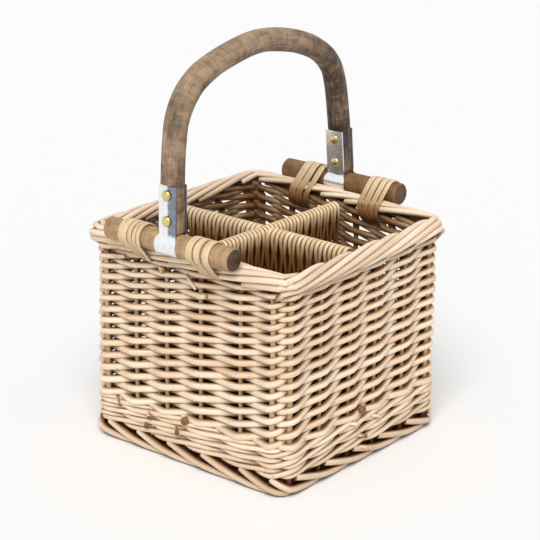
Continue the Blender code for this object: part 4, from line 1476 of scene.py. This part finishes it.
def strap_place(across, run):
    """A point of the strap: across from -1/2 to 1/2 of its width and run from 0 to 1 along the strip."""
    leaf_offset = LEG_FLAT / 2 + STRAP_FIT + STRAP_THICKNESS / 2
    radius = rod_radius + STRAP_FIT + STRAP_THICKNESS / 2
    neck = math.asin(leaf_offset / radius)
    leaf_run = strap_rise - radius * math.cos(neck)
    loop_run = 2 * (math.pi - neck) * radius
    travelled = run * (2 * leaf_run + loop_run)
    side = -1
    if travelled > leaf_run + loop_run / 2:
        side = 1
        travelled = 2 * leaf_run + loop_run - travelled
    past = travelled - leaf_run
    if past < 0:
        place = Vector((0, leaf_offset, strap_rise - travelled))
        facing = Vector((0, 1, 0))
        flare = 0
    else:
        angle = neck + past / radius
        facing = Vector((0, math.sin(angle), math.cos(angle)))
        place = facing * radius
        flare = math.sin(min(past / radius / FLARE_ANGLE, 1) * math.pi / 2)
    width = LEAF_WIDTH + (loop_width - LEAF_WIDTH) * flare - hill(past, NECK_RUN) * LEAF_WIDTH * NECK_SHARE
    ridge = RIDGE_HEIGHT * (1 / 2 - abs(across - RIDGE_SHARE)) * (1 - clamp(past / NECK_RUN))
    dents = CREASE_DEPTH * (dent(across, past, CREASE) + dent(across, past, BUCKLE) / 2)
    place += facing * (ridge - dents)
    place.x = across * width
    place.y *= side
    return place, past


class BASKET_OT_straps(bpy.types.Operator):
    """Fold a strip of sheet metal round each rod and up both sides of the leg"""

    bl_idname = "basket.straps"
    bl_label = "Straps"

    def execute(self, context):
        skin = [metal("strap_sheet_metal", "strap", STRAP_ROUGHNESS)]
        for name, frame_matrix in leg_frames().items():
            total = bmesh.new()
            stain_and_painted_shade = total.verts.layers.float.new("stain_and_painted_shade")
            bmesh.ops.create_grid(total, x_segments=STRAP_COLUMNS, y_segments=STRAP_ROWS, size=1 / 2)
            for vert in total.verts:
                across, run = vert.co.x, vert.co.y + 1 / 2
                place, past = strap_place(across, run)
                # Painted shade and dark reflection on the front strap's right side; a stain on the back strap
                if name == "front":
                    darkened = clamp((across - FRONT_SHADE_START_SHARE) / FRONT_SHADE_EDGE_SHARE)
                else:
                    darkened = BACK_STAIN_DEPTH * dent(across, past, BACK_STAIN)
                vert[stain_and_painted_shade] = darkened * (1 - clamp(past / NECK_RUN + 1 / 2))
                vert.co = frame_matrix @ place
            bmesh.ops.recalc_face_normals(total, faces=total.faces)
            bmesh.ops.solidify(total, geom=total.faces[:], thickness=STRAP_THICKNESS)
            bmesh.ops.recalc_face_normals(total, faces=total.faces)
            finish_piece(total, f"{name}_strap_sheet", "handle", skin, [f"{name}_strap"])
        return {"FINISHED"}


# Rivets


class BASKET_OT_rivets(bpy.types.Operator):
    """Set the brass rivets, a domed head on each side of the leg"""

    bl_idname = "basket.rivets"
    bl_label = "Rivets"

    def execute(self, context):
        skin = [metal("rivet_dome_brass", "brass", BRASS_ROUGHNESS)]
        seat = LEG_FLAT / 2 + 2 * STRAP_FIT + STRAP_THICKNESS
        profile = []
        for step in range(DOME_STEPS + 1):
            angle = math.pi / 2 * step / DOME_STEPS
            reach = seat + (rivet_reach - seat) * math.cos(angle)
            profile.append((rivet_head_radius * math.sin(angle), reach))
        profile.append((rivet_head_radius * RIVET_RIM_SHARE, seat - STRAP_FIT))
        profile.append((RIVET_SHANK_RADIUS, seat - STRAP_FIT))
        profile += [(radius, -reach) for radius, reach in reversed(profile)]
        for wall, frame_matrix in leg_frames().items():
            for place, height in zip(("lower", "upper"), rivet_heights):
                total = bmesh.new()
                stain_and_painted_shade = total.verts.layers.float.new("stain_and_painted_shade")
                verts = [total.verts.new((radius, reach, 0)) for radius, reach in profile]
                edges = [total.edges.new(pair) for pair in zip(verts, verts[1:])]
                bmesh.ops.spin(
                    total,
                    geom=verts + edges,
                    cent=(0, 0, 0),
                    axis=(0, 1, 0),
                    angle=2 * math.pi,
                    steps=RIVET_SIDES,
                    use_merge=True,
                )
                bmesh.ops.remove_doubles(total, verts=total.verts, dist=STRAP_FIT / 20)
                bmesh.ops.recalc_face_normals(total, faces=total.faces)
                # Painted dark reflection, from part way out to the rim of the dome
                for vert in total.verts:
                    reach = math.hypot(vert.co.x, vert.co.z) / rivet_head_radius
                    vert[stain_and_painted_shade] = max(reach - RIVET_BRIGHT_SHARE, 0) * RIVET_REFLECTION_DARKENING
                bmesh.ops.translate(total, verts=total.verts, vec=(0, 0, height))
                bmesh.ops.transform(total, matrix=frame_matrix, verts=total.verts)
                name = f"{wall}_rivet_{place}"
                finish_piece(total, f"{name}_brass", "handle", skin, [name])
        return {"FINISHED"}


# Stage
CAMERA_PLACE = Vector((0.98939, -1.19678, 0.67948))
CAMERA_AIM = Vector((0, 0, 0.14375))
CAMERA_ROLL = math.radians(0.724)
CAMERA_LENS = 121.96
CAMERA_SHIFT = (0.00367, 0.01660)
WORLD_LIGHT = 0.50
KEY_STRENGTH = 2.3
KEY_SOFTNESS = math.radians(36)
KEY_FROM = Vector((0.38, -0.55, 0.78))
FLOOR_RADIUS = 6.0
FLOOR_SIDES = 64
FLOOR_TONE = 0.92
FLOOR_ROUGHNESS = 0.9
WHITE = (1.0, 1.0, 1.0, 1.0)


class BASKET_OT_stage(bpy.types.Operator):
    """Set up the floor, the light and the camera"""

    bl_idname = "basket.stage"
    bl_label = "Stage"

    def execute(self, context):
        scene = context.scene
        scene.view_settings.view_transform = "Standard"
        lens = bpy.data.cameras.new("camera")
        lens.lens = CAMERA_LENS
        lens.shift_x, lens.shift_y = CAMERA_SHIFT
        camera = bpy.data.objects.new("camera", lens)
        scene.collection.objects.link(camera)
        back = (CAMERA_PLACE - CAMERA_AIM).normalized()
        right = Vector((0, 0, 1)).cross(back).normalized()
        up = back.cross(right)
        turn = Matrix((right, up, back)).transposed() @ Matrix.Rotation(CAMERA_ROLL, 3, "Z")
        camera.matrix_world = Matrix.Translation(CAMERA_PLACE) @ turn.to_4x4()
        scene.camera = camera

        world = bpy.data.worlds.new("studio")
        world.use_nodes = True
        scene.world = world
        tree = world.node_tree
        background = tree.nodes["Background"]
        path = add_node(tree, "ShaderNodeLightPath").outputs
        seen = arithmetic(tree, "MAXIMUM", path["Is Camera Ray"], path["Is Glossy Ray"])
        seen = arithmetic(tree, "MAXIMUM", seen, path["Is Transmission Ray"])
        background.inputs["Color"].default_value = WHITE
        tree.links.new(spread(tree, seen, WORLD_LIGHT, 1.0, (0.0, 1.0)), background.inputs["Strength"])

        sun = bpy.data.lights.new("key", "SUN")
        sun.energy = KEY_STRENGTH
        sun.angle = KEY_SOFTNESS
        key = bpy.data.objects.new("key", sun)
        scene.collection.objects.link(key)
        key.rotation_euler = KEY_FROM.to_track_quat("Z", "Y").to_euler()

        total = bmesh.new()
        bmesh.ops.create_circle(total, cap_ends=True, radius=FLOOR_RADIUS, segments=FLOOR_SIDES)
        floor = new_object("floor", total)
        made, tree, shader = principled("floor_paper")
        shader.inputs["Base Color"].default_value = (FLOOR_TONE, FLOOR_TONE, FLOOR_TONE, 1.0)
        shader.inputs["Roughness"].default_value = FLOOR_ROUGHNESS
        shader.inputs["Specular IOR Level"].default_value = 0.0
        floor.data.materials.append(made)
        floor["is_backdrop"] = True
        return {"FINISHED"}


operators = (
    BASKET_OT_foot,
    BASKET_OT_base,
    BASKET_OT_wale,
    BASKET_OT_siding,
    BASKET_OT_stakes,
    BASKET_OT_rim,
    BASKET_OT_dividers,
    BASKET_OT_perches,
    BASKET_OT_lashings,
    BASKET_OT_bail,
    BASKET_OT_straps,
    BASKET_OT_rivets,
    BASKET_OT_stage,
)


class BASKET_PT_pieces(bpy.types.Panel):
    """Every step of making the basket, in order."""

    bl_idname = "BASKET_PT_pieces"
    bl_label = "Willow bottle basket"
    bl_space_type = "VIEW_3D"
    bl_region_type = "UI"
    bl_category = "Basket"

    def draw(self, context):
        for settings in (context.scene.basket_sizes, context.scene.basket_colours):
            for name in settings.bl_rna.properties.keys():
                if name not in ("rna_type", "name"):
                    self.layout.prop(settings, name)
        for operator in operators:
            self.layout.operator(operator.bl_idname)


classes = (BasketSizes, BasketColours, *operators, BASKET_PT_pieces)


def register():
    for made in classes:
        bpy.utils.register_class(made)
    bpy.types.Scene.basket_sizes = bpy.props.PointerProperty(type=BasketSizes)
    bpy.types.Scene.basket_colours = bpy.props.PointerProperty(type=BasketColours)


def unregister():
    del bpy.types.Scene.basket_colours
    del bpy.types.Scene.basket_sizes
    for made in reversed(classes):
        bpy.utils.unregister_class(made)


def main():
    register()
    for operator in operators:
        getattr(bpy.ops.basket, operator.bl_idname.split(".")[1])()
    boxes = {"cad": cad_box, "visual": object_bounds()}
    {name: [list(corner) for corner in box] for name, box in boxes.items()}


if __name__ == "__main__":
    main()
